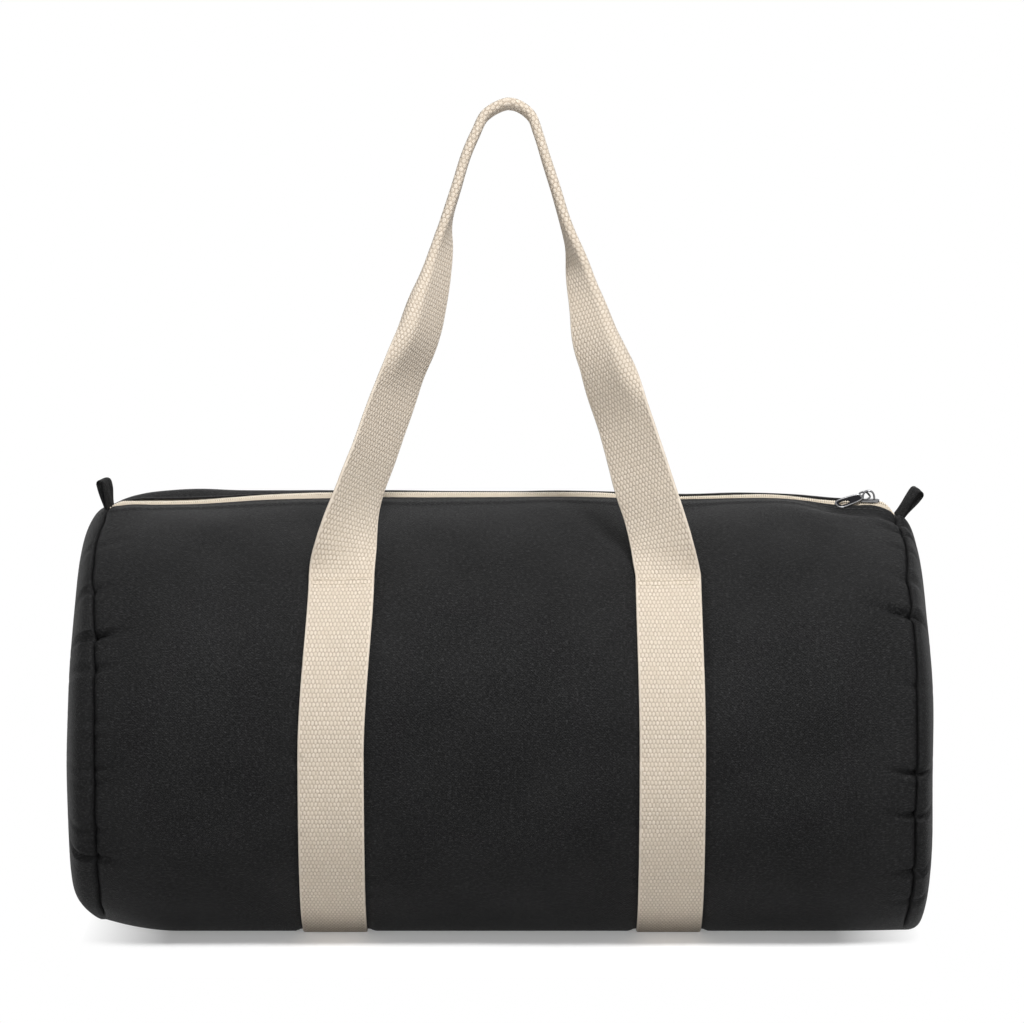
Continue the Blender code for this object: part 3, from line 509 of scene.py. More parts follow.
# %% Node helpers
class Nodes:
    """Short names for adding shader nodes and joining them up."""

    def __init__(self, name, owners=bpy.data.materials):
        self.owner = owners.new(name)
        self.owner.use_nodes = True
        self.tree = self.owner.node_tree

    def add(self, kind, **settings):
        """A new node of this kind, as its name ends, with its settings by name."""
        node = self.tree.nodes.new("ShaderNode" + kind)
        for key, value in settings.items():
            setattr(node, key, value)
        return node

    def put(self, node, **values):
        """Joins or sets sockets of a node. An underscore in a name stands for a space."""
        for key, value in values.items():
            self.join(node.inputs[key.replace("_", " ")], value)
        return node

    def join(self, target, value):
        """Links a socket to another one, or sets it to a plain value."""
        if isinstance(value, bpy.types.NodeSocket):
            self.tree.links.new(value, target)
        else:
            target.default_value = value

    def row(self, kind, *values, **settings):
        """The first output of a new node whose sockets are joined or set in order."""
        node = self.add(kind, **settings)
        for socket, value in zip(node.inputs, values):
            self.join(socket, value)
        return node.outputs[0]

    def math(self, operation, first, second=0.0, third=0.0):
        """A sum, product or other operation of up to three values."""
        return self.row("Math", first, second, third, operation=operation)

    def plus(self, first, second):
        return self.math("ADD", first, second)

    def times(self, first, second):
        return self.math("MULTIPLY", first, second)

    def flat(self):
        """The piece's UV map: metres along the cloth."""
        return self.add("UVMap").outputs["UV"]

    def place(self):
        """The piece's own Object coordinates."""
        return self.add("TexCoord").outputs["Object"]

    def parts(self, vector):
        """The three parts of a vector."""
        return self.put(self.add("SeparateXYZ"), Vector=vector).outputs

    def mix(self, amount, first, second):
        """A colour on the way from the first to the second."""
        node = self.put(self.add("Mix", data_type="RGBA"), Factor=amount, A=first, B=second)
        return node.outputs["Result"]

    def noise(self, vector, scale, detail=3.0, rough=0.5):
        """Fractal noise, mostly between 0.3 and 0.7."""
        node = self.put(self.add("TexNoise"), Vector=vector, Scale=scale, Detail=detail, Roughness=rough)
        return node.outputs["Fac"]

    def stretched(self, vector, scale):
        """The vector times another, part by part."""
        return self.put(self.add("Mapping"), Vector=vector, Scale=scale).outputs["Vector"]

    def span(self, value, low, high, to_low=0.0, to_high=1.0):
        """A value's way from low to high, as the way between two others, and no further."""
        node = self.put(self.add("MapRange"), Value=value, From_Min=low, From_Max=high, To_Min=to_low,
                        To_Max=to_high)
        return node.outputs["Result"]

    def bump(self, height, distance, strength=1.0, **under):
        """A normal tipped by a height, over another one that is given as Normal."""
        return self.put(self.add("Bump"), Height=height, Distance=distance, Strength=strength,
                        **under).outputs["Normal"]

    def surface(self, **values):
        """Joins or sets the shader's own sockets."""
        self.put(self.tree.nodes["Principled BSDF"], **values)
        return self.owner

    def seen(self):
        """1 for rays that the camera sees, also in metal and through glass, and 0 for light on the object."""
        rays = self.add("LightPath").outputs
        direct = self.math("MAXIMUM", rays["Is Camera Ray"], rays["Is Glossy Ray"])
        return self.math("MAXIMUM", direct, rays["Is Transmission Ray"])

    def show(self, first, shader, output):
        """Joins a shader to the output, in place of the tree's first one."""
        self.tree.nodes.remove(self.tree.nodes[first])
        self.join(self.tree.nodes[output].inputs["Surface"], shader)
        return self.owner


# %% [markdown]
# ### Black canvas
#
# Plain-weave cotton: weft over warp, one by one, about 0.9 mm a yarn. The height is sin(u) sin(v), which is
# high where one yarn rides over the other. Noise moves the yarns a little, so that they never line up.
# Cotton yarn is uneven, so long thin noise makes slubs: short bright ones along the weft, faint ones up the
# warp. Dyed cotton has next to no gloss, so the specular level and the sheen are close to nothing.

# %% Canvas finish
YARN = 0.0009
YARN_WANDER = 0.0024
CANVAS_DARK, CANVAS_LIGHT = (0.0065, 0.0065, 0.0067, 1.0), (0.0400, 0.0400, 0.0406, 1.0)


def canvas_finish(name="black_canvas_weave"):
    """Height: sin(u) sin(v) under long noise. Tone: the slubs, the warp and a faint cloud."""
    n = Nodes(name)
    flat = n.flat()
    shift = n.put(n.add("TexNoise"), Vector=flat, Scale=190.0).outputs["Color"]
    uv = n.row("VectorMath", shift, (YARN_WANDER, YARN_WANDER, 0.0), flat, operation="MULTIPLY_ADD")
    u, v = (n.math("SINE", n.times(part, math.pi / YARN)) for part in n.parts(uv)[:2])
    weave = n.times(u, v)
    weft = n.noise(n.stretched(uv, (520.0, 1150.0, 1.0)), 1.0, 4.0, 0.65)
    warp = n.noise(n.stretched(uv, (1150.0, 300.0, 1.0)), 1.0, 3.0, 0.6)
    cloud = n.noise(flat, 26.0, 3.0)
    slub = n.span(weft, 0.50, 0.72)
    grain = n.plus(n.times(weft, 0.7), n.times(warp, 0.3))
    height = n.plus(n.times(weave, 0.22), n.times(grain, 1.6))
    tone = n.plus(n.times(slub, 0.7), n.plus(n.times(warp, 0.5), n.times(n.span(cloud, 0.3, 0.7), 0.12)))
    color = n.mix(n.span(tone, 0.18, 1.05), CANVAS_DARK, CANVAS_LIGHT)
    return n.surface(Base_Color=color, Roughness=n.span(grain, 0.2, 0.8, 0.62, 0.48),
                     Normal=n.bump(height, 0.00055, 0.9), Specular_IOR_Level=0.07, Sheen_Weight=0.01,
                     Sheen_Roughness=0.45, Sheen_Tint=(0.85, 0.85, 0.88, 1.0))


# %% [markdown]
# ### Natural webbing
#
# Heavy cotton webbing shows rows of short upright floats, each row shifted by half a float. In the UV map, u
# is the place across the strap and v runs along it. The row number is floor(v / row), and odd rows are
# shifted. A float is an ellipse in its cell, high in the middle, with a gap round it. Its colour follows that
# height: the gap is painted darker as shade, and the crown and the strap's edges lighter as a painted
# highlight. White noise by row and column gives each float a tone of its own, because undyed cotton is never
# one colour.

# %% Webbing finish
FLOAT_WIDTH = 0.0021
FLOAT_ROW = 0.00256
FLOAT_JITTER = 0.42


def webbing_finish(name="natural_webbing_weave"):
    """Floats in shifted rows. A float's height is 1 - (2.3 |a|)^2 - (1.88 |b|)^2.4, for a and b in its cell.

    The bump and the colour follow from that height: a painted highlight on the crown and the strap's edge,
    and painted shade in the gap round the float.
    """
    n = Nodes(name)
    uv = n.flat()
    x, y = n.parts(uv)[:2]
    jitter = n.times(n.math("SUBTRACT", n.noise(uv, 420.0, 2.0), 0.5), FLOAT_JITTER)
    row = n.plus(n.math("DIVIDE", y, FLOAT_ROW), jitter)
    shift = n.times(n.math("FLOORED_MODULO", n.math("FLOOR", row), 2.0), 0.5)
    column = n.plus(n.math("DIVIDE", x, FLOAT_WIDTH), n.plus(shift, jitter))
    across, along = (n.math("ABSOLUTE", n.math("SUBTRACT", n.math("FRACT", v), 0.5)) for v in (column, row))
    far = n.plus(n.math("POWER", n.times(across, 2.30), 2.0), n.math("POWER", n.times(along, 1.88), 2.4))
    float_height = n.math("SUBTRACT", 1.0, n.math("MINIMUM", far, 1.0))
    selvedge = n.span(n.math("ABSOLUTE", x), WEBBING_WIDTH / 2 - 0.0016, WEBBING_WIDTH / 2 - 0.0008)
    height = n.math("MAXIMUM", n.math("POWER", float_height, 0.6), n.times(selvedge, 0.8))
    fibre = n.noise(n.stretched(uv, (3800.0, 900.0, 1.0)), 1.0, 3.0, 0.6)
    cloud = n.noise(uv, 60.0, 3.0)
    # Colour by height: painted shade in the gaps between floats, and a painted highlight on their crowns and on
    # the strap's edges.
    floats_with_painted_shade = n.mix(n.span(height, 0.0, 0.75), (0.455, 0.372, 0.288, 1.0), (0.79, 0.702, 0.596, 1.0))
    cell = n.row("CombineXYZ", n.math("FLOOR", column), n.math("FLOOR", row))
    own = n.row("TexWhiteNoise", cell, noise_dimensions="2D")
    uneven = n.mix(n.times(own, 0.55), floats_with_painted_shade, (0.62, 0.535, 0.430, 1.0))
    varied = n.mix(n.span(fibre, 0.35, 0.75, 0.0, 0.35), uneven, (0.58, 0.495, 0.393, 1.0))
    color = n.mix(n.span(cloud, 0.35, 0.75, 0.0, 0.22), varied, (0.68, 0.567, 0.444, 1.0))
    normal = n.bump(fibre, 0.0001, 0.35, Normal=n.bump(height, 0.00045, 0.65))
    return n.surface(Base_Color=color, Roughness=0.9, Normal=normal, Specular_IOR_Level=0.25,
                     Sheen_Weight=0.12, Sheen_Roughness=0.6)


# %% [markdown]
# ### Zip, thread and metal
#
# The zip tape is a fine herringbone twill of the same undyed cotton. Its coil is a smooth plastic thread. The
# slider is bright plate with soft reflections; the pull is dark plate, with its rims painted bright as a
# highlight.

# %% Zip and thread finishes
TWILL_ZIGZAG, TWILL_PITCH = 0.0016, 0.0008
THREAD_TWIST = 0.0006


def tape_finish(name="zip_tape_twill"):
    """Herringbone: the sine of x plus a zigzag of y. The colour follows that height, with painted shade in the
    grooves.
    """
    n = Nodes(name)
    x, y = n.parts(n.flat())[:2]
    zigzag = n.math("PINGPONG", y, TWILL_ZIGZAG)
    height = n.math("SINE", n.times(n.plus(x, zigzag), TURN / TWILL_PITCH))
    # Painted shade: darker in the twill's grooves, lighter on its ridges.
    color = n.mix(n.span(height, -1.0, 1.0), (0.60, 0.50, 0.38, 1.0), (0.80, 0.71, 0.58, 1.0))
    return n.surface(Base_Color=color, Roughness=0.85, Normal=n.bump(height, 0.0002, 0.6),
                     Specular_IOR_Level=0.3, Sheen_Weight=0.1)


def coil_finish(name="zip_coil_plastic"):
    """Smooth plastic with a faint cloud of tone."""
    n = Nodes(name)
    place = n.place()
    color = n.mix(n.noise(place, 300.0), (0.74, 0.65, 0.52, 1.0), (0.84, 0.76, 0.64, 1.0))
    return n.surface(Base_Color=color, Roughness=n.span(n.noise(place, 900.0), 0.3, 0.7, 0.34, 0.5),
                     Specular_IOR_Level=0.5)


def thread_finish(name, dark, light):
    """Twisted yarn: the sine of x plus y, from dark to light, with painted shade in the grooves between the
    plies.
    """
    n = Nodes(name)
    x, y = n.parts(n.flat())[:2]
    twist = n.math("SINE", n.times(n.plus(x, y), TURN / THREAD_TWIST))
    # Painted shade: darker in the twist's grooves, lighter on its ridges.
    color = n.mix(n.span(twist, -1.0, 1.0), dark, light)
    return n.surface(Base_Color=color, Roughness=0.7, Normal=n.bump(twist, 0.0001, 0.6), Sheen_Weight=0.1)


# %% Metal finishes
def chrome_finish(name="slider_bright_plate"):
    """Bright plate over a casting that is a little uneven."""
    n = Nodes(name)
    place = n.place()
    cast = n.noise(place, 1400.0, 3.0)
    color = n.mix(n.noise(place, 500.0), (0.17, 0.17, 0.175, 1.0), (0.27, 0.27, 0.28, 1.0))
    return n.surface(Base_Color=color, Metallic=1.0, Roughness=n.span(cast, 0.3, 0.7, 0.16, 0.30),
                     Normal=n.bump(cast, 0.00005, 0.3), Specular_Tint=(0.55, 0.55, 0.56, 1.0))


def gunmetal_finish(name="pull_dark_plate"):
    """Dark plate, with its edges painted bright as a highlight and made metallic: the pull's own attribute says
    how near the rim a point is.
    """
    n = Nodes(name)
    place = n.place()
    rim = n.add("Attribute", attribute_name="rim").outputs["Fac"]
    speck = n.noise(place, 1600.0, 3.0)
    # Painted highlight: the rim, and most of the eye, are lighter and more metallic than the face.
    color = n.mix(n.span(rim, 0.2, 0.9), (0.012, 0.012, 0.014, 1.0), (0.20, 0.20, 0.205, 1.0))
    rough = n.math("SUBTRACT", n.span(speck, 0.3, 0.7, 0.42, 0.56), n.times(rim, 0.2))
    return n.surface(Base_Color=color, Metallic=n.span(rim, 0.1, 0.6), Roughness=rough,
                     Specular_IOR_Level=0.06, Specular_Tint=(0.5, 0.5, 0.5, 1.0),
                     Normal=n.bump(speck, 0.00005, 0.4))


# %% Make the finishes
canvas = canvas_finish()
webbing = webbing_finish()
zip_tape = tape_finish()
zip_plastic = coil_finish()
natural_thread = thread_finish("natural_thread_twist", (0.55, 0.46, 0.35, 1.0), (0.82, 0.74, 0.62, 1.0))
black_thread = thread_finish("black_thread_twist", (0.008, 0.008, 0.008, 1.0), (0.035, 0.035, 0.036, 1.0))
chrome = chrome_finish()
gunmetal = gunmetal_finish()
print("finishes:", len(bpy.data.materials))


def dress(piece, body, slot, *nodes):
    """The piece rides on a body and stands for the plain nodes, which it hides. The slot is not used."""
    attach(piece, body)
    if nodes:
        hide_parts(*nodes)
    return piece


# %% [markdown]
# ## The body panel
#
# One length of canvas runs from the front edge of the zip, under the bag, to the rear edge. Along the zip its
# edge is folded under, so the first centimetre is double and stands a little higher. Under each band, the
# canvas lies back by most of the webbing's thickness. The grid is closer near the seams, the bands and the
# mouth.

# %% Body panel
HEM = 0.0105
HEM_RISE = 0.0007
TOPSTITCH_PLACE = 0.0028
TOPSTITCH_DENT, TOPSTITCH_DENT_HALF = 0.0005, 0.0008
BODY_ACROSS, BODY_ROUND, BODY_CROWDING = 160, 290, 1.6


def closer(low, high, count, marks, pull):
    """Places from low to high, crowded round the marks: even steps of the integral of 1 + pull * bells."""
    fine = np.linspace(low, high, 4001)
    weight = 1 + sum(pull * bell((fine - mark) / width) for mark, width in marks)
    reached = np.concatenate([[0.0], np.cumsum((weight[1:] + weight[:-1]) / 2)])
    return np.interp(np.linspace(0.0, reached[-1], count), reached, fine)


def groove(x, angle):
    """How far the canvas lies back under a band, fading above the cross stitch."""
    reach = reach_at(np.minimum(angle, TURN - angle))
    middle = np.where(x < 0, band_middle(-1, reach), band_middle(1, reach))
    beside = np.abs(x - middle) - WEBBING_WIDTH / 2 - GAP
    along = smooth_step((reach - STITCH_REACH + 0.008) / 0.006)
    return (WEBBING_THICKNESS - BAND_PROUD + GAP) * smooth_step(1 - beside / 0.0045) * along


def hem(angle):
    """The folded edge along the zip, with a shallow line where the topstitch pulls it down."""
    from_edge = np.minimum(reach_at(angle), GIRTH - reach_at(angle)) - MOUTH_REACH
    fold = HEM_RISE * (1 - smooth_step((from_edge - HEM) / 0.0012))
    return fold - TOPSTITCH_DENT * bell((from_edge - TOPSTITCH_PLACE) / TOPSTITCH_DENT_HALF)


def body_panel():
    """The barrel's surface, lifted by the hem and laid back by the grooves, and the same a cloth further in."""
    half = WEBBING_WIDTH / 2
    edges = [(side * (BAND_OFFSET + way * half), 0.006) for side in (-1, 1) for way in (-1, 1)]
    across = closer(-SEAM, SEAM, BODY_ACROSS, [(-SEAM, 0.018), (SEAM, 0.018)] + edges, BODY_CROWDING)
    marks = [(MOUTH_REACH, 0.010), (GIRTH - MOUTH_REACH, 0.010), (0.19, 0.12)]
    round_it = closer(MOUTH_REACH, GIRTH - MOUTH_REACH, BODY_ROUND, marks, BODY_CROWDING)
    x, reach = np.meshgrid(across, round_it, indexing="ij")
    angle = angle_at(reach)
    out = hem(angle) - groove(x, angle)
    outer, inner = barrel_point(x, angle, out), barrel_point(x, angle, out - CANVAS)
    inner[..., 2] = np.maximum(inner[..., 2], CANVAS)
    uv = np.stack([x, reach], axis=-1)
    return make_piece("canvas_body", *slab(outer, inner, uv), canvas)


canvas_body = dress(body_panel(), "root", "black_canvas", "body_panel")

# %% [markdown]
# ## The end panels
#
# Each end is a disc of canvas that the contents push out. From the seam inwards, the radius is
# (cos t)^(2/p) and the bulge is (sin t)^(2/p), a superellipse again. Its power p grows towards the ground,
# where the end stands up straight before it turns under. The same valleys cross the seam on to it, and wide
# waves keep it from being clean.

# %% End panels
END_BULGE = 0.0195
END_GROWTH = {-1: 0.0010, 1: -0.0010}
END_POWER, END_POWER_LOW = 2.42, 1.8
END_WAVES = 0.0008
END_RINGS, END_SPOKES, END_CROWDING = 42, 301, 1.35
# The left end's lower edge is lifted: how far it may stand out for each metre of height over the start
LIFT_SLOPE, LIFT_START, LIFT_SOFT, LIFT_TOP = 0.73, 0.003, 0.0015, 0.040


def end_points(side, turns, angles, inset):
    """Rings of one end from the seam to the middle. inset moves the surface in by the cloth's thickness.

    The left end's lower edge is held under a slope by a soft minimum: (a + b - sqrt((a - b)^2 + s^2)) / 2.
    """
    seam = barrel_point(side * SEAM, angles)
    seam[:, 0] = 0.0
    centre = np.array([0.0, 0.0, BELLY])
    low = smooth_step((1 - np.cos(angles)) / 2)
    power = END_POWER + END_POWER_LOW * low
    round_share = np.cos(turns)[:, None] ** (2 / power)
    bulge_share = np.sin(turns)[:, None] ** (2 / power)
    bulge = END_BULGE + END_GROWTH[side] - inset
    rim = (SEAM_ROLL - roll(bulge_share * bulge)) * smooth_step(section(angles)[1] / 0.010)
    reach = np.broadcast_to(reach_at(angles), round_share.shape)
    radius = np.linalg.norm(seam - centre, axis=1)
    inward = (1 - round_share) * radius
    up, along = round_share * np.cos(angles), round_share * np.sin(angles)
    soft = END_WAVES * waves(up, along, 21 + side, 8, 0.5, 1.4)
    gathered = END_VALLEY_SHARE * gathers(side, reach, inward * 1.3) * smooth_step(bulge_share * 3)
    pulled = seam_wander(side, reach) * (1 - bulge_share) ** 2
    points = centre + (seam - centre) * (round_share * (1 + (rim - inset) / radius))[..., None]
    points[..., 0] = side * (SEAM + bulge_share * (bulge + soft) - gathered - pulled)
    points[..., 2] = np.maximum(points[..., 2], inset)
    if side < 0:
        z = points[..., 2]
        out, limit = -SEAM - points[..., 0], LIFT_SLOPE * (z - LIFT_START)
        lower = (out + limit - np.sqrt((out - limit) ** 2 + LIFT_SOFT**2)) / 2
        lifted = np.minimum(out, np.maximum(lower, 0.0))
        points[..., 0] = -SEAM - np.where(z < LIFT_TOP, lifted, out)
    return points


def end_uv(points, middle):
    """Cloth coordinates of the rings: the direction from the middle, times the length along the surface."""
    whole = np.concatenate([points, np.broadcast_to(middle, points[:1].shape)])
    steps = np.linalg.norm(np.diff(whole, axis=0), axis=2)
    far = np.cumsum(steps[::-1], axis=0)[::-1]
    return far[..., None] * unit((points - middle)[0, :, 1:])


def end_panel(name, side):
    """Outer and inner rings, each closed in the middle by a fan, and joined along the seam."""
    turns = (math.pi / 2) * np.linspace(0.0, 1.0, END_RINGS)[:-1] ** END_CROWDING
    angles = angle_at(np.linspace(0.0, GIRTH, END_SPOKES)[:-1])
    insets = (0.0, CANVAS)
    sheets = [end_points(side, turns, angles, inset) for inset in insets]
    rows, columns = sheets[0].shape[:2]
    count = rows * columns
    index = np.arange(count).reshape(rows, columns)
    far = SEAM + END_BULGE + END_GROWTH[side]
    middles = [np.array([side * (far - inset), 0.0, BELLY]) for inset in insets]
    points = np.concatenate([sheets[0].reshape(-1, 3), sheets[1].reshape(-1, 3), middles])
    last, after = index[-1], np.roll(index[-1], -1)
    outer_middle, inner_middle = ([np.full(columns, 2 * count + k)] * 2 for k in (0, 1))
    fan = np.stack([last, after] + outer_middle, axis=-1)
    inner_fan = np.stack([after + count, last + count] + inner_middle, axis=-1)
    first, second = index[0], np.roll(index[0], -1)
    rim = np.stack([second, first, first + count, second + count], axis=-1)
    outer_quads = grid_quads(closed(index))
    quads = np.concatenate([outer_quads, outer_quads[:, ::-1] + count, fan, inner_fan, rim])
    uvs = [end_uv(sheet, middle).reshape(-1, 2) for sheet, middle in zip(sheets, middles)]
    return make_piece(name, points, quads, np.concatenate(uvs + [np.zeros((2, 2))]), canvas)


for word, side in SIDES:
    dress(end_panel("canvas_end_" + word, side), "root", "black_canvas", "end_panel_" + word)

# %% [markdown]
# ## Webbing bands
#
# A band is flat webbing sewn to the canvas. Its section is a long rounded bar. It is carried round the barrel
# from the front cross stitch, under the bag, to the rear one, and it follows the sagging canvas.

# %% Webbing section
ACROSS_STEPS = 24
EDGE_STEPS = 5


def flat_profile(width, thickness, steps=ACROSS_STEPS):
    """Places across and outward of a bar with half-round edges, listed once round, top face first."""
    radius = thickness / 2
    half = width / 2 - radius
    top = np.linspace(-half, half, steps)
    turn = np.linspace(math.pi / 2, -math.pi / 2, EDGE_STEPS + 2)[1:-1]
    edge = half + radius * np.cos(turn)
    out = np.concatenate([np.full(steps, radius), radius * np.sin(turn)])
    return np.concatenate([top, edge, top[::-1], -edge]), np.concatenate([out, -out])


# %% Bands
BAND_STATIONS = 280


def band(name, side):
    """The section carried round the barrel, with the place across it and the cloth's length as its UV map."""
    reach = np.linspace(STITCH_REACH, GIRTH - STITCH_REACH, BAND_STATIONS)
    across, out = flat_profile(WEBBING_WIDTH, WEBBING_THICKNESS)
    reach, across = np.meshgrid(reach, across, indexing="ij")
    angle = angle_at(reach)
    level = BAND_PROUD - WEBBING_THICKNESS / 2 + out[None, :]
    rings = barrel_point(band_middle(side, reach) + side * across, angle, level)
    z = rings[..., 2]
    from_top = WEBBING_THICKNESS - np.clip(WEBBING_THICKNESS / 2 + out[None, :], 0, None)
    rings[..., 2] = np.maximum(z, from_top * smooth_step(1 - z / 0.004))
    return make_piece(name, *tube(rings, np.stack([across, reach], axis=-1)), webbing)


for word, side in SIDES:
    dress(band("webbing_band_" + word, side), "root", "natural_webbing", "band_" + word)

# %% [markdown]
# ## Handles
#
# Each handle is the same webbing, free of the bag. It lies flat at its feet, and each leg turns a little.
# Higher up, the outer margin folds behind, and the fold line moves in until the grip is folded in half. So the
# section is two wings that part at the fold line. Along a wing, the turn builds up evenly over a quarter
# circle and then stays: across = the integral of cos(turn), inward = the integral of sin(turn). The path of
# the loop is laid flat first, and then bent on to the handle's side profile: upright in front, hanging down
# behind.

# %% Folded webbing section
FOLD_RADIUS = 0.0018
SOFT_RADIUS = 0.0040
WING_STEPS = 18


def wing(length, fold, radius):
    """Middle line of a wing, at place s with the quarter circle's length m and the full turn T.

    Beyond the circle, a = m sin(T) / T + (s - m) cos(T), and b = m (1 - cos(T)) / T + (s - m) sin(T).
    """
    full = np.maximum(fold * math.pi / 2, SMALL_ANGLE)[:, None]
    bend = radius[:, None] * math.pi / 2
    place = length[:, None] * (np.linspace(0.0, 1.0, WING_STEPS) ** 1.5)
    beyond = np.maximum(place - bend, 0.0)
    turn = full * np.minimum(place / bend, 1.0)
    a = np.sin(turn) * bend / full + beyond * np.cos(full)
    b = (1 - np.cos(turn)) * bend / full + beyond * np.sin(full)
    return a, b, turn, place


def wing_skin(length, fold, radius):
    """The wing's face out from the fold line, its round edge, and its back."""
    a, b, turn, place = wing(length, fold, radius)
    half = WEBBING_THICKNESS / 2
    lie = np.linspace(math.pi / 2, -math.pi / 2, EDGE_STEPS + 2)[1:-1] - turn[:, -1:]
    tip_a, tip_b = a[:, -1:] + half * np.cos(lie), b[:, -1:] - half * np.sin(lie)
    skin_a = np.concatenate([a + half * np.sin(turn), tip_a, (a - half * np.sin(turn))[:, ::-1]], axis=1)
    skin_b = np.concatenate([b - half * np.cos(turn), tip_b, (b + half * np.cos(turn))[:, ::-1]], axis=1)
    tip_place = place[:, -1:] + half * np.cos(lie + turn[:, -1:])
    return skin_a, skin_b, np.concatenate([place, tip_place, place[:, ::-1]], axis=1)


def fold_profile(fold, offset):
    """Across and inward places of the webbing's skin, and the place across the strap that each one has.

    fold runs from 0, flat, to 1, folded over. offset is how far outside the strap's middle the fold line lies.
    The fold is softer where it only turns the margin. Rows are stations, columns go once round the section.
    """
    half = (WEBBING_WIDTH - WEBBING_THICKNESS) / 2
    radius = FOLD_RADIUS + SOFT_RADIUS * offset / half
    a, b, place = wing_skin(half + offset, fold, radius)
    other_a, other_b, other_place = wing_skin(half - offset, fold, radius)
    turn = (fold * math.pi / 2)[:, None]
    across = np.concatenate([a, -other_a[:, -2:0:-1]], axis=1) - offset[:, None] * np.cos(turn)
    inward = np.concatenate([b, other_b[:, -2:0:-1]], axis=1) - offset[:, None] * np.sin(turn)
    return across, inward, np.concatenate([place, -other_place[:, -2:0:-1]], axis=1) - offset[:, None]


# %% Path of the loop, laid flat
HANDLE_RISE = 0.271
LEAD = 0.004
# Each leg: distance from the middle, as a share of the band's offset, against the share of the rise
RISE_SHARES = (0.0, 0.031, 0.063, 0.125, 0.188, 0.25, 0.314, 0.376, 0.44, 0.50, 0.568, 0.63, 0.694, 0.757,
               0.823, 0.886, 0.937, 0.978)
LEFT_SHARES = (0.945, 0.936, 0.918, 0.879, 0.826, 0.759, 0.697, 0.634, 0.569, 0.499, 0.445, 0.396, 0.357,
               0.327, 0.272, 0.216, 0.153, 0.088)
RIGHT_SHARES = (0.981, 0.964, 0.944, 0.897, 0.839, 0.788, 0.734, 0.677, 0.617, 0.555, 0.511, 0.467, 0.428,
                0.373, 0.319, 0.260, 0.213, 0.164)
APEX_SHARE = 0.049
# How far the inner wing of each leg is turned about the leg's own length, in quarter turns
TURN_PLACE_SHARES = (0.0, 0.03, 0.063, 0.094, 0.125, 0.156, 0.188, 0.25, 0.376, 0.44, 0.50, 0.568, 0.63, 0.66,
                     0.694, 0.727, 0.756, 1.0)
LEFT_TURN_SHARES = (0.0, 0.10, 0.28, 0.36, 0.46, 0.52, 0.54, 0.55, 0.560, 0.665, 0.67, 0.63, 0.61, 0.60, 0.64,
                    0.86, 1.0, 1.06)
RIGHT_TURN_SHARES = (0.0, 0.12, 0.24, 0.28, 0.32, 0.32, 0.30, 0.36, 0.44, 0.44, 0.33, 0.29, 0.45, 0.62, 0.86,
                     0.96, 1.0, 1.06)
# How far it is folded, and how far outside its middle the fold line lies, in half widths
LEFT_FOLD_START, RIGHT_FOLD_START, FOLD_SPAN = 0.365, 0.31, 0.15
LEFT_FOLD_PLACES = (0.0, 0.44, 0.50, 0.568, 0.63, 0.68, 1.0)
LEFT_OFFSET_SHARES = (0.97, 0.97, 0.88, 0.63, 0.25, 0.0, 0.0)
RIGHT_FOLD_PLACES = (0.0, 0.36, 0.44, 0.50, 0.568, 0.62, 1.0)
RIGHT_OFFSET_SHARES = (0.97, 0.97, 0.83, 0.58, 0.21, 0.0, 0.0)
LOOP_STEPS = 460
# The number of stations that the turns and offsets are evened over, and the share of the rise up to which
# each leg is drawn towards the upright
EVENED = 13
STRAIGHT_SHARE = 0.12
# Up to here, and then less and less, the middle of the section follows the path instead of the fold line
MIDDLE_SHARE, MIDDLE_SPAN = 0.94, 0.15
SLOPE_STEP = 0.002


def loop_path():
    """X and length along the side profile for points of the whole loop, from the left foot to the right one."""
    feet = [band_middle(side, STITCH_REACH) for side in (-1, 1)]
    left = [(feet[0], -LEAD)] + [(-BAND_OFFSET * a, HANDLE_RISE * r) for a, r in zip(LEFT_SHARES, RISE_SHARES)]
    right = [(BAND_OFFSET * a, HANDLE_RISE * r) for a, r in zip(RIGHT_SHARES, RISE_SHARES)][::-1]
    apex = [(BAND_OFFSET * APEX_SHARE, HANDLE_RISE)]
    return smooth_line(left + apex + right + [(feet[1], -LEAD)], LOOP_STEPS)


def evened(values, width):
    """A running mean, with its ends held."""
    return np.convolve(np.pad(values, width // 2, mode="edge"), np.ones(width) / width, mode="valid")


# %% Side profiles of the two handles
FRONT_LEAN = math.radians(14)
FRONT_BEND, REAR_BEND = 0.016, 0.012
REAR_START, REAR_CLEARANCE = 0.0025, 0.017
FLOOR_BEND = 0.024
FLOOR_GAP = 0.001
joints = {joint["name"]: joint for joint in frame["joints"]}
FOOT = np.array(joints["front_handle_swing"]["pos_m"][1:])
BAND_SINK = BAND_PROUD - WEBBING_THICKNESS / 2


def bezier(*controls, count=24):
    """A Bezier curve: the controls weighted by the binomial terms of (1 - t) and t."""
    t = np.linspace(0.0, 1.0, count)[:, None]
    last = len(controls) - 1
    return sum(math.comb(last, k) * t**k * (1 - t) ** (last - k) * np.array(p) for k, p in enumerate(controls))


def band_line(side, reach):
    """Y and Z of a band's middle line at a length from the zip."""
    return barrel_point(band_middle(side, reach), angle_at(reach), BAND_SINK)[1:]


def front_profile(side):
    """From the cross stitch, out of the band's plane, and then straight up with a small lean."""
    start = band_line(side, STITCH_REACH)
    along = band_line(side, STITCH_REACH - 0.001) - start
    up = np.array([math.sin(FRONT_LEAN), math.cos(FRONT_LEAN)])
    bend = bezier(start, start + unit(along) * LEAD, FOOT + up * FRONT_BEND)
    return np.concatenate([bend, [FOOT + up * HANDLE_RISE]])


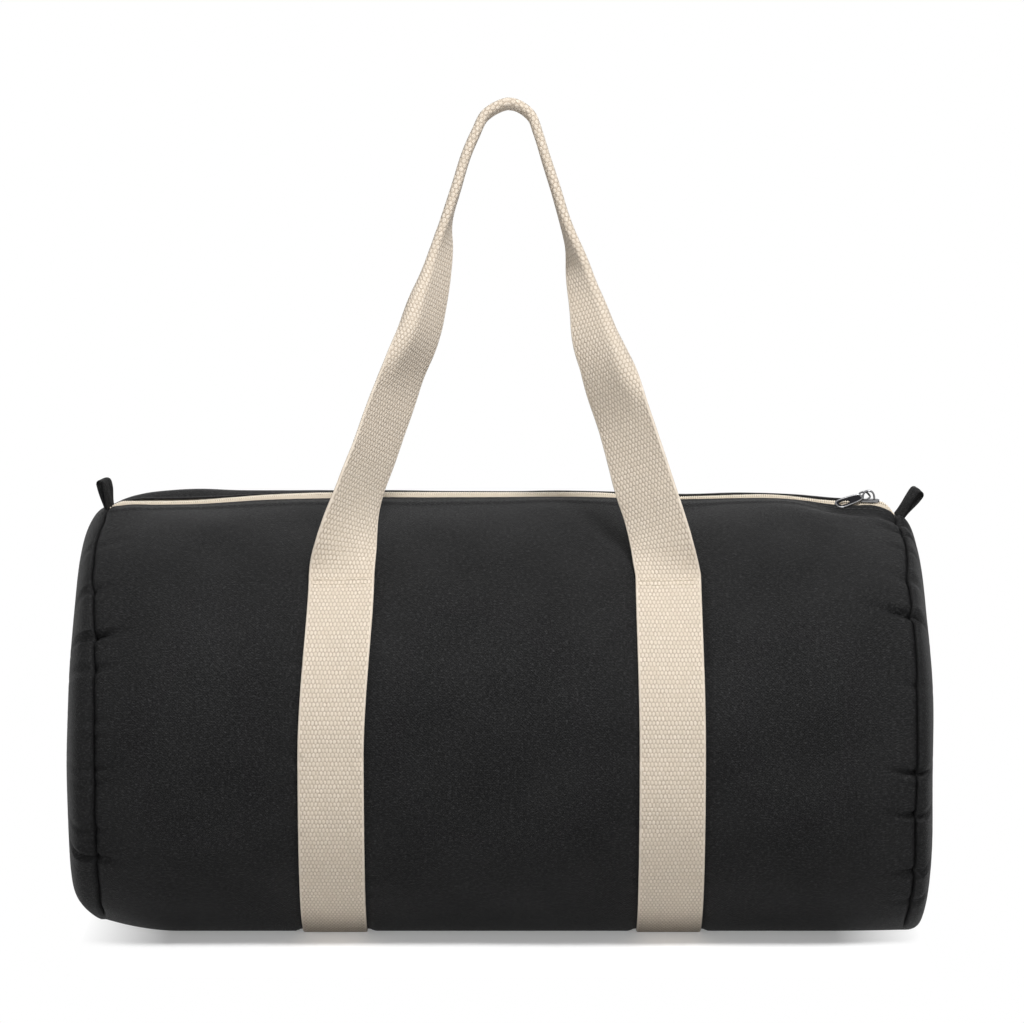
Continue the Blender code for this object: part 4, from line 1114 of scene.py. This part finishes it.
def rear_profile(side):
    """From the rear cross stitch over itself, down round the belly, to the ground and out along it."""
    start = band_line(side, GIRTH - STITCH_REACH)
    along = unit(band_line(side, GIRTH - STITCH_REACH + 0.001) - start)
    angles = np.linspace(STITCH_ANGLE + 0.16, math.pi / 2, 24)
    share = (angles - STITCH_ANGLE) / (math.pi / 2 - STITCH_ANGLE)
    outs = BAND_PROUD + REAR_START + (REAR_CLEARANCE - REAR_START) * share
    y, z = section(TURN - angles)
    ny, nz = section_normal(TURN - angles)
    belly = np.stack([y + ny * outs, z + nz * outs], axis=-1)
    before = belly[0] + unit(belly[0] - belly[1]) * REAR_BEND
    over = bezier(start, start + along * REAR_BEND, before, belly[0])
    turn = np.linspace(0.0, math.pi / 2, 16)[1:]
    rest = WEBBING_WIDTH / 2 + FLOOR_GAP
    bend_y = belly[-1, 0] + FLOOR_BEND * (1 - np.cos(turn))
    bend = np.stack([bend_y, rest + FLOOR_BEND * (1 - np.sin(turn))], axis=-1)
    path = np.concatenate([over, belly[1:], bend])
    used = run_along(path)[-1]
    return np.concatenate([path, [bend[-1] + np.array([HANDLE_RISE + LEAD - used, 0.0])]])


# %% The two handles
def handle_strip(name, profile):
    """The webbing's section stood square to the loop, turned and folded by the shares above."""
    flat = loop_path()
    length = flat[:, 1] + LEAD
    is_left = np.arange(len(flat)) < np.argmax(flat[:, 1])

    def on_profile(length):
        """Y and Z at these lengths, each from its own leg's profile."""
        places = []
        for line in (profile(-1), profile(1)):
            reached = run_along(line)
            places.append(np.stack([np.interp(length, reached, line[:, k]) for k in (0, 1)], axis=-1))
        return np.where(is_left[:, None], *places)

    slope = unit(on_profile(length + SLOPE_STEP) - on_profile(length - SLOPE_STEP))
    spine = np.concatenate([flat[:, :1], on_profile(length)], axis=1)
    share = np.clip(flat[:, 1] / HANDLE_RISE, 0.0, 1.0)
    along = unit(np.gradient(flat, axis=0))
    straight = np.stack([np.zeros(len(flat)), np.sign(along[:, 1])], axis=-1)
    free = smooth_step(flat[:, 1] / (STRAIGHT_SHARE * HANDLE_RISE))[:, None]
    along = unit(straight + (along - straight) * free)
    out = np.stack([np.zeros(len(flat)), -slope[:, 1], slope[:, 0]], axis=-1)
    width = np.stack([along[:, 1], -along[:, 0] * slope[:, 0], -along[:, 0] * slope[:, 1]], axis=-1)
    turns = np.where(is_left, np.interp(share, TURN_PLACE_SHARES, LEFT_TURN_SHARES),
                     np.interp(share, TURN_PLACE_SHARES, RIGHT_TURN_SHARES))
    offset = np.where(is_left, np.interp(share, LEFT_FOLD_PLACES, LEFT_OFFSET_SHARES),
                      np.interp(share, RIGHT_FOLD_PLACES, RIGHT_OFFSET_SHARES))
    fold = smooth_step((share - np.where(is_left, LEFT_FOLD_START, RIGHT_FOLD_START)) / FOLD_SPAN)
    turn = (evened(turns, EVENED) - fold) * math.pi / 2
    cos, sin = np.cos(turn)[:, None], np.sin(turn)[:, None]
    width, out = width * cos - out * sin, out * cos + width * sin
    offset = evened(offset, EVENED) * (WEBBING_WIDTH - WEBBING_THICKNESS) / 2
    across, inward, place = fold_profile(fold, offset)
    rings = across[..., None] * width[:, None] - inward[..., None] * out[:, None]
    centring = smooth_step((MIDDLE_SHARE - share) / MIDDLE_SPAN)
    shift = (rings[..., 0].min(axis=1) + rings[..., 0].max(axis=1)) / 2 * centring
    rings += spine[:, None] - (shift[:, None] * np.array([1.0, 0.0, 0.0]))[:, None]
    run = run_along(flat)
    from_foot = np.minimum(run, run[-1] - run)[:, None]
    uv = np.stack([place, np.broadcast_to(STITCH_REACH - from_foot, place.shape)], axis=-1)
    return make_piece(name, *strip(rings, uv), webbing)


def strip(rings, uv):
    """A tube of two wings that meet in the first column. Each end is closed from the face to the back."""
    rows, columns = rings.shape[:2]
    index = np.arange(rows * columns).reshape(rows, columns)
    # Point numbers of one wing's face and back, from the fold line out to its tip; the other wing mirrors them
    count = columns // 2 + 1
    face = np.arange(count // 2)
    back = count - 1 - face
    tip = np.array([[count // 2, count // 2 - 1, count // 2 + 1, count // 2 + 1]])
    lid = np.concatenate([np.stack([face[1:], face[:-1], back[:-1], back[1:]], axis=-1), tip])
    lid = np.concatenate([lid, (columns - lid[:, ::-1]) % columns])
    quads = np.concatenate([grid_quads(closed(index)), lid, lid[:, ::-1] + (rows - 1) * columns])
    return rings.reshape(-1, 3), quads, uv.reshape(-1, 2)


front_strip = handle_strip("webbing_handle_front", front_profile)
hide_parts("front_handle")
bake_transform(front_strip)

rear_strip = handle_strip("webbing_handle_rear", rear_profile)
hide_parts("rear_handle")
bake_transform(rear_strip)

# %% [markdown]
# ## Cross stitching
#
# Each leg of a handle is held by two rows of undyed thread across the webbing. A stitch is a short piece of
# thread that comes up out of the webbing, lies over it and goes down again: a tube along half an ellipse.

# %% Rows of stitches
def thread_tubes(starts, ends, outs, radius, stations=7, sides=8):
    """One closed tube for each stitch. starts and ends are on the cloth, outs are the directions away from it.

    From t = 0 to pi, it runs on by -cos(t) of the half length, and stands 1.7 sin(t)^0.6 - 1.05 radii high.
    """
    t = np.linspace(0.0, math.pi, stations)
    way = ends - starts
    length = np.linalg.norm(way, axis=1)[:, None]
    forward = way / length
    side = unit(np.cross(forward, outs))
    up = np.cross(side, forward)
    along = -np.cos(t)[None, :, None] * (length[:, None] / 2) * forward[:, None]
    raised = (1.7 * radius * np.sin(t) ** 0.6 - 1.05 * radius)[None, :, None] * up[:, None]
    spine = ((starts + ends) / 2)[:, None] + along + raised
    lie = np.linspace(0.0, TURN, sides, endpoint=False)
    thin = (0.35 + 0.65 * np.sin(t) ** 0.5)[None, :, None, None]
    ring = np.cos(lie)[:, None] * side[:, None, None] + np.sin(lie)[:, None] * up[:, None, None]
    points = spine[:, :, None] + radius * thin * ring
    return many_tubes(points, together(lie * radius, t[:, None] * length[:, :, None] / math.pi))


THREAD_RADIUS = 0.00032
CROSS_PITCH = 0.0031
CROSS_SHARE = 0.80
CROSS_ROWS = (0.0008, 0.0040)


def stitched(starts, step, angle, out, radius):
    """Threads over the canvas from each place along X to one a step further, at these angles and heights."""
    ends = [barrel_point(x, angle, out) for x in (starts, starts + step)]
    return thread_tubes(*ends, together(0.0, *section_normal(angle)), radius)


def cross_stitch(name, side, rear):
    """Two rows of stitches across a foot of a handle, on the band just below its end."""
    places = np.arange(-WEBBING_WIDTH / 2 + 0.0025, WEBBING_WIDTH / 2 - 0.0045, CROSS_PITCH)
    random = np.random.default_rng(31 + side + 4 * rear)
    bodies = []
    for row in CROSS_ROWS:
        reach = STITCH_REACH + row + random.uniform(-0.0002, 0.0002, len(places))
        angle = angle_at(GIRTH - reach) if rear else angle_at(reach)
        x = band_middle(side, reach) + places
        bodies.append(stitched(x, CROSS_PITCH * CROSS_SHARE, angle, BAND_PROUD, THREAD_RADIUS))
    return make_piece(name, *joined(bodies), natural_thread)


for word, side in SIDES:
    for place, rear in (("front_", False), ("rear_", True)):
        rows = cross_stitch("cross_stitches_" + place + word, side, rear)
        dress(rows, "root", "natural_thread", "cross_stitch_" + place + word)

# %% [markdown]
# ## The zip
#
# The tape lies level beside the teeth and runs on under the folded canvas, where it is sewn. The teeth are
# the turns of a plastic coil: short bars across the tape, each bent down at both ends. The two rows are half a
# pitch apart. The topstitch that holds canvas and tape is black thread, 2.8 mm from the edge.

# %% Zip sizes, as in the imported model
ZIP_TAPE = 0.0006
COIL_WIDTH = 0.0026
COIL_HEIGHT = 0.0022
COIL_SPACE = 0.0012
TEETH_PITCH = 0.00127
TAPE_UNDER = 0.0045
TAPE_STEPS = np.linspace(0.12, 1.0, 7)
# One tooth, from its tip to its root: heights in half heights of the row, and places as shares of its width
TOOTH_TIP = 0.00035
TOOTH_RISES = (-0.25, 0.45, 0.80, 0.90, 0.90, 0.85, 0.60, 0.05)
TOOTH_PLACES = (0.02, 0.0, 0.10, 0.3, 0.55, 0.8, 0.97, 1.02)
TOOTH_SLANT = 0.00042
TOOTH_WIDE, TOOTH_TALL = 0.00043, 0.00036


def zip_level(x):
    """Height of the middle of the zip: level with the canvas edges at the ends, and swollen up between."""
    share = end_share(x, MOUTH_ANGLE, ZIP_END_RUN)
    level = section(MOUTH_ANGLE)[1] - (CANVAS + GAP + ZIP_TAPE / 2)
    return level + (BELLY - level) * share + rise(x, ZIP_RISE_SHARES)


def zip_tape_piece(name, side):
    """Level beside the teeth, down to the canvas edge, then close under the canvas."""
    x = np.linspace(-SEAM + 0.0004, SEAM - 0.0004, 230)
    under = angle_at(MOUTH_REACH + TAPE_UNDER * TAPE_STEPS)
    turn = under if side < 0 else TURN - under
    beside = np.linspace(0.0009, ZIP_OPENING / 2, 8)
    share = smooth_step((beside - 0.0032) / (ZIP_OPENING / 2 + 0.0006 - 0.0032))
    sheets = []
    for face, out in ((0.5, -(CANVAS + GAP)), (-0.5, -(CANVAS + GAP + ZIP_TAPE))):
        tucked = barrel_point(*np.meshgrid(x, turn, indexing="ij"), out)
        edge = barrel_point(x, turn[0], out)[:, 2]
        middle = zip_level(x) + ZIP_TAPE * face
        level = middle[:, None] + (edge - middle)[:, None] * share
        sheets.append(np.concatenate([together(x[:, None], side * beside, level), tucked], axis=1))
    across = np.concatenate([beside, ZIP_OPENING / 2 + TAPE_UNDER * TAPE_STEPS])
    uv = together(across, x[:, None])
    return make_piece(name, *slab(sheets[0], sheets[1], uv), zip_tape)


def zip_teeth(name, side):
    """Each tooth: a bar of half-round section that arches over the tape's edge, a little slanted."""
    x = np.arange(-SEAM + 0.0012, SEAM - 0.0012, TEETH_PITCH) + (TEETH_PITCH / 2 if side > 0 else 0.0)
    root = COIL_SPACE / 2 + COIL_WIDTH
    arch = COIL_HEIGHT / 2 * np.array(TOOTH_RISES)
    across = TOOTH_TIP + (root - TOOTH_TIP) * np.array(TOOTH_PLACES)
    slant = TOOTH_SLANT * (np.linspace(0.0, 1.0, len(arch)) - 0.5)
    spine = together(x[:, None] + slant, side * across, zip_level(x)[:, None] + arch)
    forward = unit(np.gradient(spine, axis=1))
    lengthwise = unit(np.array([1.0, 0.0, 0.0]) - forward * forward[..., :1])
    up = np.cross(forward, lengthwise)
    lie = np.linspace(0.0, TURN, 8, endpoint=False)[:, None]
    ring = TOOTH_WIDE * np.cos(lie) * lengthwise[:, :, None] + TOOTH_TALL * np.sin(lie) * up[:, :, None]
    points = spine[:, :, None] + ring
    return make_piece(name, *many_tubes(points, points[..., :2]), zip_plastic)


for word, side in (("front", -1), ("rear", 1)):
    dress(zip_tape_piece("woven_zip_tape_" + word, side), "root", "natural_zip", "zip_tape_" + word)
    dress(zip_teeth("zip_teeth_" + word, side), "root", "natural_zip", "zip_coil_" + word)


# %% Topstitch along the zip
STITCH_PITCH = 0.0033
STITCH_SHARE = 0.86
STITCH_RADIUS = 0.00024


def topstitch(name):
    """Two rows of stitches on the folded edges, one before the zip and one behind it."""
    x = np.arange(-SEAM + 0.004, SEAM - 0.007, STITCH_PITCH)
    bodies = []
    for reach in (MOUTH_REACH + TOPSTITCH_PLACE, GIRTH - MOUTH_REACH - TOPSTITCH_PLACE):
        angle = np.full(len(x), angle_at(reach))
        bodies.append(stitched(x, STITCH_PITCH * STITCH_SHARE, angle, hem(angle) + 0.0001, STITCH_RADIUS))
    return make_piece(name, *joined(bodies), black_thread)


dress(topstitch("zip_topstitch"), "root", "black_canvas")

# %% [markdown]
# ## The slider and its pull
#
# The slider has two plates with turned-in lips, and a crown: a small strap over the upper plate that holds the
# pull's eye. The pull is stamped plate with a raised rim and a slot at its end. The rim is painted bright as a
# highlight, and the face stays dark.

# %% Slider
SLIDER_LENGTH = 0.0125
SLIDER_PLATE = 0.0009
SLIDER_LIP = 0.0010
CROWN_WIDTH = 0.0026
CROWN_LENGTH = 0.0078
CROWN_ROOM = 0.0042
CROWN_BAR = 0.0011
PIVOT = np.array(joints["pull_hinge"]["pos_m"])
SLIDER_X = PIVOT[0]
ZIP_MIDDLE = PIVOT[2] - 0.0029 - SLIDER_PLATE - GAP - COIL_HEIGHT / 2


def slider_plate(sign):
    """Stations along X. Each has a section of plate and lips, whose width follows a shield outline."""
    along = np.sin(np.linspace(-1.0, 1.0, 25) * math.pi / 2)
    outline = (1 - np.abs(along) ** 5) ** (1 / 3.2)
    waist = 1 - 0.10 * smooth_step((0.2 - along) / 1.2)
    room = COIL_HEIGHT / 2 + GAP
    full = COIL_SPACE / 2 + COIL_WIDTH + GAP + SLIDER_LIP
    # Places across and heights of one half: over the plate, round the lip and back underneath
    shape = [(0.0, 1.00), (0.35, 1.0), (0.65, 0.96), (0.86, 0.84), (0.97, 0.55), (1.0, 0.15), (1.0, -0.55),
             (0.985, -0.95), (0.90, -1.0), (0.80, -0.95), (0.79, -0.5), (0.78, 0.0), (0.5, 0.0), (0.2, 0.0)]
    across = np.array([a for a, _ in shape] + [-a for a, _ in shape[:0:-1]])
    level = np.array([b for _, b in shape] + [b for _, b in shape[:0:-1]])
    lip = room - ZIP_TAPE / 2 - GAP
    height = np.where(level > 0, room + SLIDER_PLATE * level, room + lip * level)
    y = full * (outline * waist)[:, None] * across
    soft = (1 - 0.3 * (1 - outline))[:, None]
    z = ZIP_MIDDLE + sign * (room + (height - room) * soft)
    x = SLIDER_X + SLIDER_LENGTH / 2 * along
    rings = together(x[:, None], y, z)[1:-1]
    return tube(rings, rings[..., :2])


def crown():
    """A strap with round edges over the upper plate, along a smooth arch."""
    top = ZIP_MIDDLE + COIL_HEIGHT / 2 + GAP + SLIDER_PLATE
    half, high = CROWN_LENGTH / 2 - CROWN_BAR / 2, CROWN_ROOM + CROWN_BAR / 2
    turn = np.linspace(math.pi, 0.0, 25)
    x = half * signed_power(np.cos(turn), 0.75)
    z = top - 0.0004 + (high + 0.0004) * np.sin(turn) ** 0.75
    path = smooth_line(together(x, z), 30)
    slope = unit(np.gradient(path, axis=0))
    across, out = flat_profile(CROWN_WIDTH, CROWN_BAR, 8)
    px = SLIDER_X + path[:, :1] - slope[:, 1:] * out
    pz = path[:, 1:] + slope[:, :1] * out
    rings = together(px, across, pz)
    return tube(rings, rings[..., :2])


def post():
    """The wedge that joins the plates at the nose."""
    z = ZIP_MIDDLE + np.linspace(-1, 1, 5) * (COIL_HEIGHT / 2 + GAP + SLIDER_PLATE / 2)
    lie = np.linspace(0.0, TURN, 12, endpoint=False)
    x = SLIDER_X + 0.0030 + 0.0022 * np.cos(lie)
    y = 0.0003 * np.sin(lie)
    rings = together(x, y, z[:, None])
    return tube(rings, rings[..., :2])


slider_parts = joined([slider_plate(1), slider_plate(-1), crown(), post()])
slider = make_piece("bright_slider", *slider_parts, chrome, sharp=40)
dress(slider, "slider", "slider_chrome", "zip_slider")

# %% Pull
PULL_LENGTH = 0.022
PULL_WIDTH = 0.008
PULL_THICKNESS = 0.0012
PULL_EYE_LENGTH = 0.0034
PULL_NECK_WIDTH = 0.0076
PULL_ROD = 0.0006
# How much of the rim's painted highlight the eye takes
EYE_RIM = 0.75
PULL_SLOT_LENGTH = 0.0066
PULL_SLOT_WIDTH = 0.0030
PULL_TURNS = (math.radians(24), math.radians(15), math.radians(32))


def round_end(length, start, near_width, far_width, corner, count=120):
    """Outline of a plate that widens from its neck: a rounded bar whose far end is close to a half circle."""
    turn = np.linspace(0.0, TURN, count, endpoint=False)
    x, y = (signed_power(wave(turn), 2 / corner) for wave in (np.cos, np.sin))
    share = (x + 1) / 2
    width = near_width + (far_width - near_width) * smooth_step(share)
    return together(start + length * share, y * width / 2)


def pull_axes():
    """Axes of the pull at rest: along it, across it and square to its face."""
    yaw, pitch, roll_turn = PULL_TURNS
    level = np.array([-math.cos(yaw), -math.sin(yaw), 0.0])
    along = level * math.cos(pitch) - np.array([0.0, 0.0, math.sin(pitch)])
    across = np.cross(level, [0.0, 0.0, 1.0])
    face = np.cross(across, along)
    rolled = across * math.cos(roll_turn) + face * math.sin(roll_turn)
    return np.array([along, rolled, np.cross(rolled, along)])


def ring_round(grid):
    """Points, quads and UVs of a grid that joins up both ways, as a ring does."""
    index = np.arange(grid.shape[0] * grid.shape[1]).reshape(grid.shape[:2])
    points = grid.reshape(-1, 3)
    return points, grid_quads(closed(np.concatenate([index, index[:1]]))), points[:, :2]


def pull_plate():
    """Loops from the outer edge, over the rim and the sunk face, to the slot, and back underneath."""
    start = PULL_EYE_LENGTH + 0.0008
    outer = round_end(PULL_LENGTH - start, start, 0.0064, PULL_WIDTH, 3.4)
    slot_start = PULL_LENGTH - 0.0024 - PULL_SLOT_LENGTH
    inner = round_end(PULL_SLOT_LENGTH, slot_start, PULL_SLOT_WIDTH, PULL_SLOT_WIDTH, 3.4)
    middle = np.array([(start + PULL_LENGTH) / 2, 0.0])
    size = np.array([PULL_LENGTH - start, PULL_WIDTH]) / 2
    half = PULL_THICKNESS / 2

    def inset(depth):
        """The plate's outline, moved in by a depth."""
        return middle + (outer - middle) * (1 - depth / size)

    def outset(depth):
        """The slot's outline, moved out by a depth."""
        slot_middle = np.array([slot_start + PULL_SLOT_LENGTH / 2, 0.0])
        grown = 1 + depth / np.array([PULL_SLOT_LENGTH, PULL_SLOT_WIDTH]) * 2
        return slot_middle + (inner - slot_middle) * grown

    face = 0.62 * half
    # The third value of each loop is its share of the rim's painted highlight.
    tops = [(inset(0.0), 0.35 * half, 1), (inset(0.00008), 0.75 * half, 1), (inset(0.0003), half, 1),
            (inset(0.0006), half, 1), (inset(0.00085), 0.9 * half, 0.8), (inset(0.0011), face, 0)]
    for share in (0.3, 0.6, 0.85):
        tops.append((inset(0.0011) * (1 - share) + outset(0.0004) * share, face, 0))
    tops += [(outset(0.0004), face, 0.0), (outset(0.00025), 0.9 * face, 0.2),
             (outset(0.00005), 0.6 * face, 0.2)]
    loops = tops + [(line, -z, rim) for line, z, rim in reversed(tops)]
    grid = np.array([np.column_stack([line, np.full(len(line), z)]) for line, z, _ in loops])
    rims = np.array([np.full(grid.shape[1], rim) for _, _, rim in loops])
    return *ring_round(grid), rims.ravel()


def pull_eye():
    """A round rod bent into a loop: a superellipse path."""
    turn = np.linspace(0.0, TURN, 48, endpoint=False)
    length, width = PULL_EYE_LENGTH + 0.0018, PULL_NECK_WIDTH - 2 * PULL_ROD
    x = length / 2 * (1 + signed_power(np.cos(turn), 0.7))
    y = width / 2 * signed_power(np.sin(turn), 0.7)
    path = together(x, y, 0.0)
    slope = unit(np.roll(path, -1, axis=0) - np.roll(path, 1, axis=0))
    side = together(slope[:, 1], -slope[:, 0], 0.0)
    lie = np.linspace(0.0, TURN, 12, endpoint=False)[:, None]
    ring = np.cos(lie) * side[:, None] + np.sin(lie) * np.array([0.0, 0.0, 1.0])
    grid = path[:, None] + PULL_ROD * 0.9 * ring
    return *ring_round(grid), np.full(grid.shape[0] * grid.shape[1], EYE_RIM)


def pull():
    """Plate and eye as one piece, with an attribute that is 1 on the rim and 0 on the face."""
    plate, eye = pull_plate(), pull_eye()
    points, quads, uv = joined([plate[:3], eye[:3]])
    piece = make_piece("dark_pull", points @ pull_axes() + PIVOT, quads, uv, gunmetal, sharp=50)
    rim = piece.data.attributes.new("rim", "FLOAT", "POINT")
    rim.data.foreach_set("value", np.concatenate([plate[3], eye[3]]).astype(np.float32))
    return piece


dress(pull(), "pull", "pull_gunmetal", "zip_pull")

# %% [markdown]
# ## Zip tabs and inner bindings
#
# Each end of the zip has a strip of canvas folded into a loop and caught in the end seam. It leans out over the
# end. Its path is two legs that part as a smooth step and a half circle over the top. Inside, each end seam is
# bound with a tape, which no outside view shows.

# %% Zip tabs
TAB_WIDTH = 0.010
TAB_HEIGHT = 0.0175
TAB_CLOTH = 0.0010
TAB_LOOP = 0.0032
TAB_SUNK = 0.0030
TAB_WOBBLE = 0.0003
TAB_LEANS = {-1: math.radians(13), 1: math.radians(36)}
TAB_YAW = math.radians(25)
TAB_MOVES = {-1: np.array([0.004, 0.0, 0.0045]), 1: np.array([0.0, 0.0, 0.0015])}


def zip_tab(name, side, node):
    """The folded strip: a bar with round edges carried along the legs and over the top of the plain tab."""
    middle = TAB_HEIGHT - TAB_LOOP / 2 - TAB_CLOTH
    spread, foot = (TAB_LOOP + TAB_CLOTH) / 2, (GAP + TAB_CLOTH) / 2
    up_leg = np.linspace(-TAB_SUNK / middle, 1.0, 16)
    leg = together(foot + (spread - foot) * smooth_step(up_leg) ** 0.8, middle * up_leg)
    turn = np.linspace(0.0, math.pi, 15)[1:-1]
    over = together(spread * np.cos(turn), middle + spread * np.sin(turn))
    path = smooth_line(np.concatenate([leg, over, leg[::-1] * np.array([-1.0, 1.0])]), 64)
    slope = np.gradient(path, axis=0)
    normal = unit(together(slope[:, 1], -slope[:, 0]))
    lean = TAB_LEANS[side]
    up = np.array([side * math.sin(lean), 0.0, math.cos(lean)])
    level = np.array([side * math.cos(lean), 0.0, -math.sin(lean)])
    across = np.array([0.0, math.cos(TAB_YAW), 0.0]) - math.sin(TAB_YAW) * level
    thick = np.cross(across, up)
    width, out = flat_profile(TAB_WIDTH, TAB_CLOTH, 12)
    wobble = TAB_WOBBLE * waves(width, path[:, 1:], 51 + side, 5, 0.007, 0.02)
    line = path[:, None] + normal[:, None] * (out + wobble)[..., None]
    rings = line[..., :1] * thick + line[..., 1:] * up + width[None, :, None] * across
    low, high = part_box(node)
    above = rings[path[:, 1] >= 0][..., 0]
    shift = np.array([(low.x + high.x - above.min() - above.max()) / 2, 0.0, high.z - rings[..., 2].max()])
    uv = together(width, run_along(path)[:, None])
    return make_piece(name, *tube(rings + shift + TAB_MOVES[side], uv), canvas)


# %% Inner bindings
BINDING_WIDTH = 0.010
BINDING_THICKNESS = 0.0015
BINDING_DEEP = 0.0012


def seam_tape(name, side):
    """Tape round the inside of an end seam, from one zip tape to the other."""
    x = side * (SEAM - np.linspace(BINDING_WIDTH, 0.0005, 9))
    first = MOUTH_REACH + TAPE_UNDER + 0.001
    reach = np.linspace(first, GIRTH - first, 220)
    x, reach = np.meshgrid(x, reach, indexing="ij")
    angle = angle_at(reach)
    out = -(CANVAS + GAP + BINDING_DEEP)
    outer, inner = barrel_point(x, angle, out), barrel_point(x, angle, out - BINDING_THICKNESS)
    outer[..., 2] = np.maximum(outer[..., 2], CANVAS + GAP)
    inner[..., 2] = np.maximum(inner[..., 2], CANVAS + GAP + BINDING_THICKNESS)
    return make_piece(name, *slab(outer, inner, np.stack([x, reach], axis=-1)), canvas)


for word, side in SIDES:
    dress(zip_tab("canvas_tab_" + word, side, "end_tab_" + word), "root", "black_canvas", "end_tab_" + word)
    dress(seam_tape("seam_tape_" + word, side), "root", "black_canvas", "seam_binding_" + word)

# %% [markdown]
# ## Floor, light and camera
#
# The bag stands on a plain floor with a soft shadow round it. One key lamp hangs above and before it. Three
# broad fill lamps, low in front, at the left and behind, leave no highlights, and a white room adds a little.
# To the light, the floor is grey. To the camera it is nearly white and takes the shadow, and away from the bag
# it fades into the white background.

# %% Floor and background
FLOOR_SIZE = 14.0
FLOOR_DROP = 0.0002
FLOOR_TONE = 0.60
FLOOR_BRIGHT = 0.95
FLOOR_GLOW = 0.22
# The shadow fades out from here to here: beside the ends, before the bag, and behind it
FADE_BESIDE = (0.190, 0.240)
FADE_BEFORE = (0.100, 0.186)
FADE_BEHIND = (0.200, 0.400)


def floor_finish():
    """Grey for light on the object. For the camera: bright near the bag, and plain white further out."""
    n = Nodes("pale_floor")
    grey, bright = (n.row("BsdfDiffuse", (tone, tone, tone, 1.0)) for tone in (FLOOR_TONE, FLOOR_BRIGHT))
    glow = n.put(n.add("Emission"), Strength=FLOOR_GLOW).outputs[0]
    x, y = n.parts(n.place())[:2]
    near = n.span(n.math("ABSOLUTE", x), *FADE_BESIDE, 1.0, 0.0)
    for value, fade in ((n.times(y, -1.0), FADE_BEFORE), (y, FADE_BEHIND)):
        near = n.times(near, n.span(value, *fade, 1.0, 0.0))
    far = n.math("SUBTRACT", 1.0, near)
    shown = n.row("MixShader", far, n.row("AddShader", bright, glow), n.row("Emission"))
    return n.show("Principled BSDF", n.row("MixShader", n.seen(), grey, shown), "Material Output")


half_floor = FLOOR_SIZE / 2
floor_corners = [(half_floor * x, half_floor * y, -FLOOR_DROP) for x, y in ((-1, -1), (1, -1), (1, 1), (-1, 1))]
floor_mesh = bpy.data.meshes.new("studio_floor")
floor_mesh.from_pydata(floor_corners, [], [(0, 1, 2, 3)])
floor_mesh.materials.append(floor_finish())
floor = placed("studio_floor", floor_mesh)
print(f"floor: {FLOOR_SIZE} m")

# %% Fill light and white background
FILL = 0.14
room = Nodes("studio", bpy.data.worlds)
fill, white = (room.put(room.add("Background"), Color=(1.0, 1.0, 1.0, 1.0), Strength=strength).outputs[0]
               for strength in (FILL, 1.0))
room_light = room.row("MixShader", room.seen(), fill, white)
bpy.context.scene.world = room.show("Background", room_light, "World Output")
print("world:", bpy.context.scene.world.name)

# %% Lamps
from mathutils import Vector


def soft_lamp(name, place, aim, size, power):
    """A square lamp that faces a point."""
    light = bpy.data.lights.new(name, "AREA")
    light.shape = "SQUARE"
    light.size = size
    light.energy = power
    lamp = placed(name, light)
    lamp.location = place
    lamp.rotation_euler = (Vector(aim) - Vector(place)).to_track_quat("-Z", "Y").to_euler()
    return lamp


soft_lamp("key_above", (0.55, -1.1, 2.4), (0.0, 0.0, 0.2), 0.6, 54.0)
# The fills leave no highlights
for fill_lamp in (soft_lamp("low_front_fill", (0.0, -2.8, 0.30), (0.0, 0.0, 0.25), 1.6, 32.0),
                  soft_lamp("side_fill", (-1.6, -2.4, 1.2), (0.0, 0.0, 0.2), 1.0, 8.0),
                  soft_lamp("back_fill", (0.3, 2.6, 1.5), (0.0, 0.0, 0.2), 2.0, 62.0)):
    fill_lamp.visible_glossy = False
print("lamps:", len(bpy.data.lights))

# %% Camera
CAMERA_FAR = 2.9
CAMERA_RISE = math.radians(6.5)
CAMERA_AIM = Vector((0.0058, 0.0, 0.2362))
SENSOR_MM, LENS_MM = 36.0, 175.78
camera_data = bpy.data.cameras.new("view")
camera_data.sensor_width = SENSOR_MM
camera_data.lens = LENS_MM
camera_data.clip_end = 100.0
camera = placed("view", camera_data)
camera.location = CAMERA_AIM + CAMERA_FAR * Vector((0.0, -math.cos(CAMERA_RISE), math.sin(CAMERA_RISE)))
camera.rotation_euler = (CAMERA_AIM - camera.location).to_track_quat("-Z", "Y").to_euler()
bpy.context.scene.camera = camera
bpy.context.scene.view_settings.view_transform = "Standard"
print("camera at:", [round(place, 3) for place in camera.location])
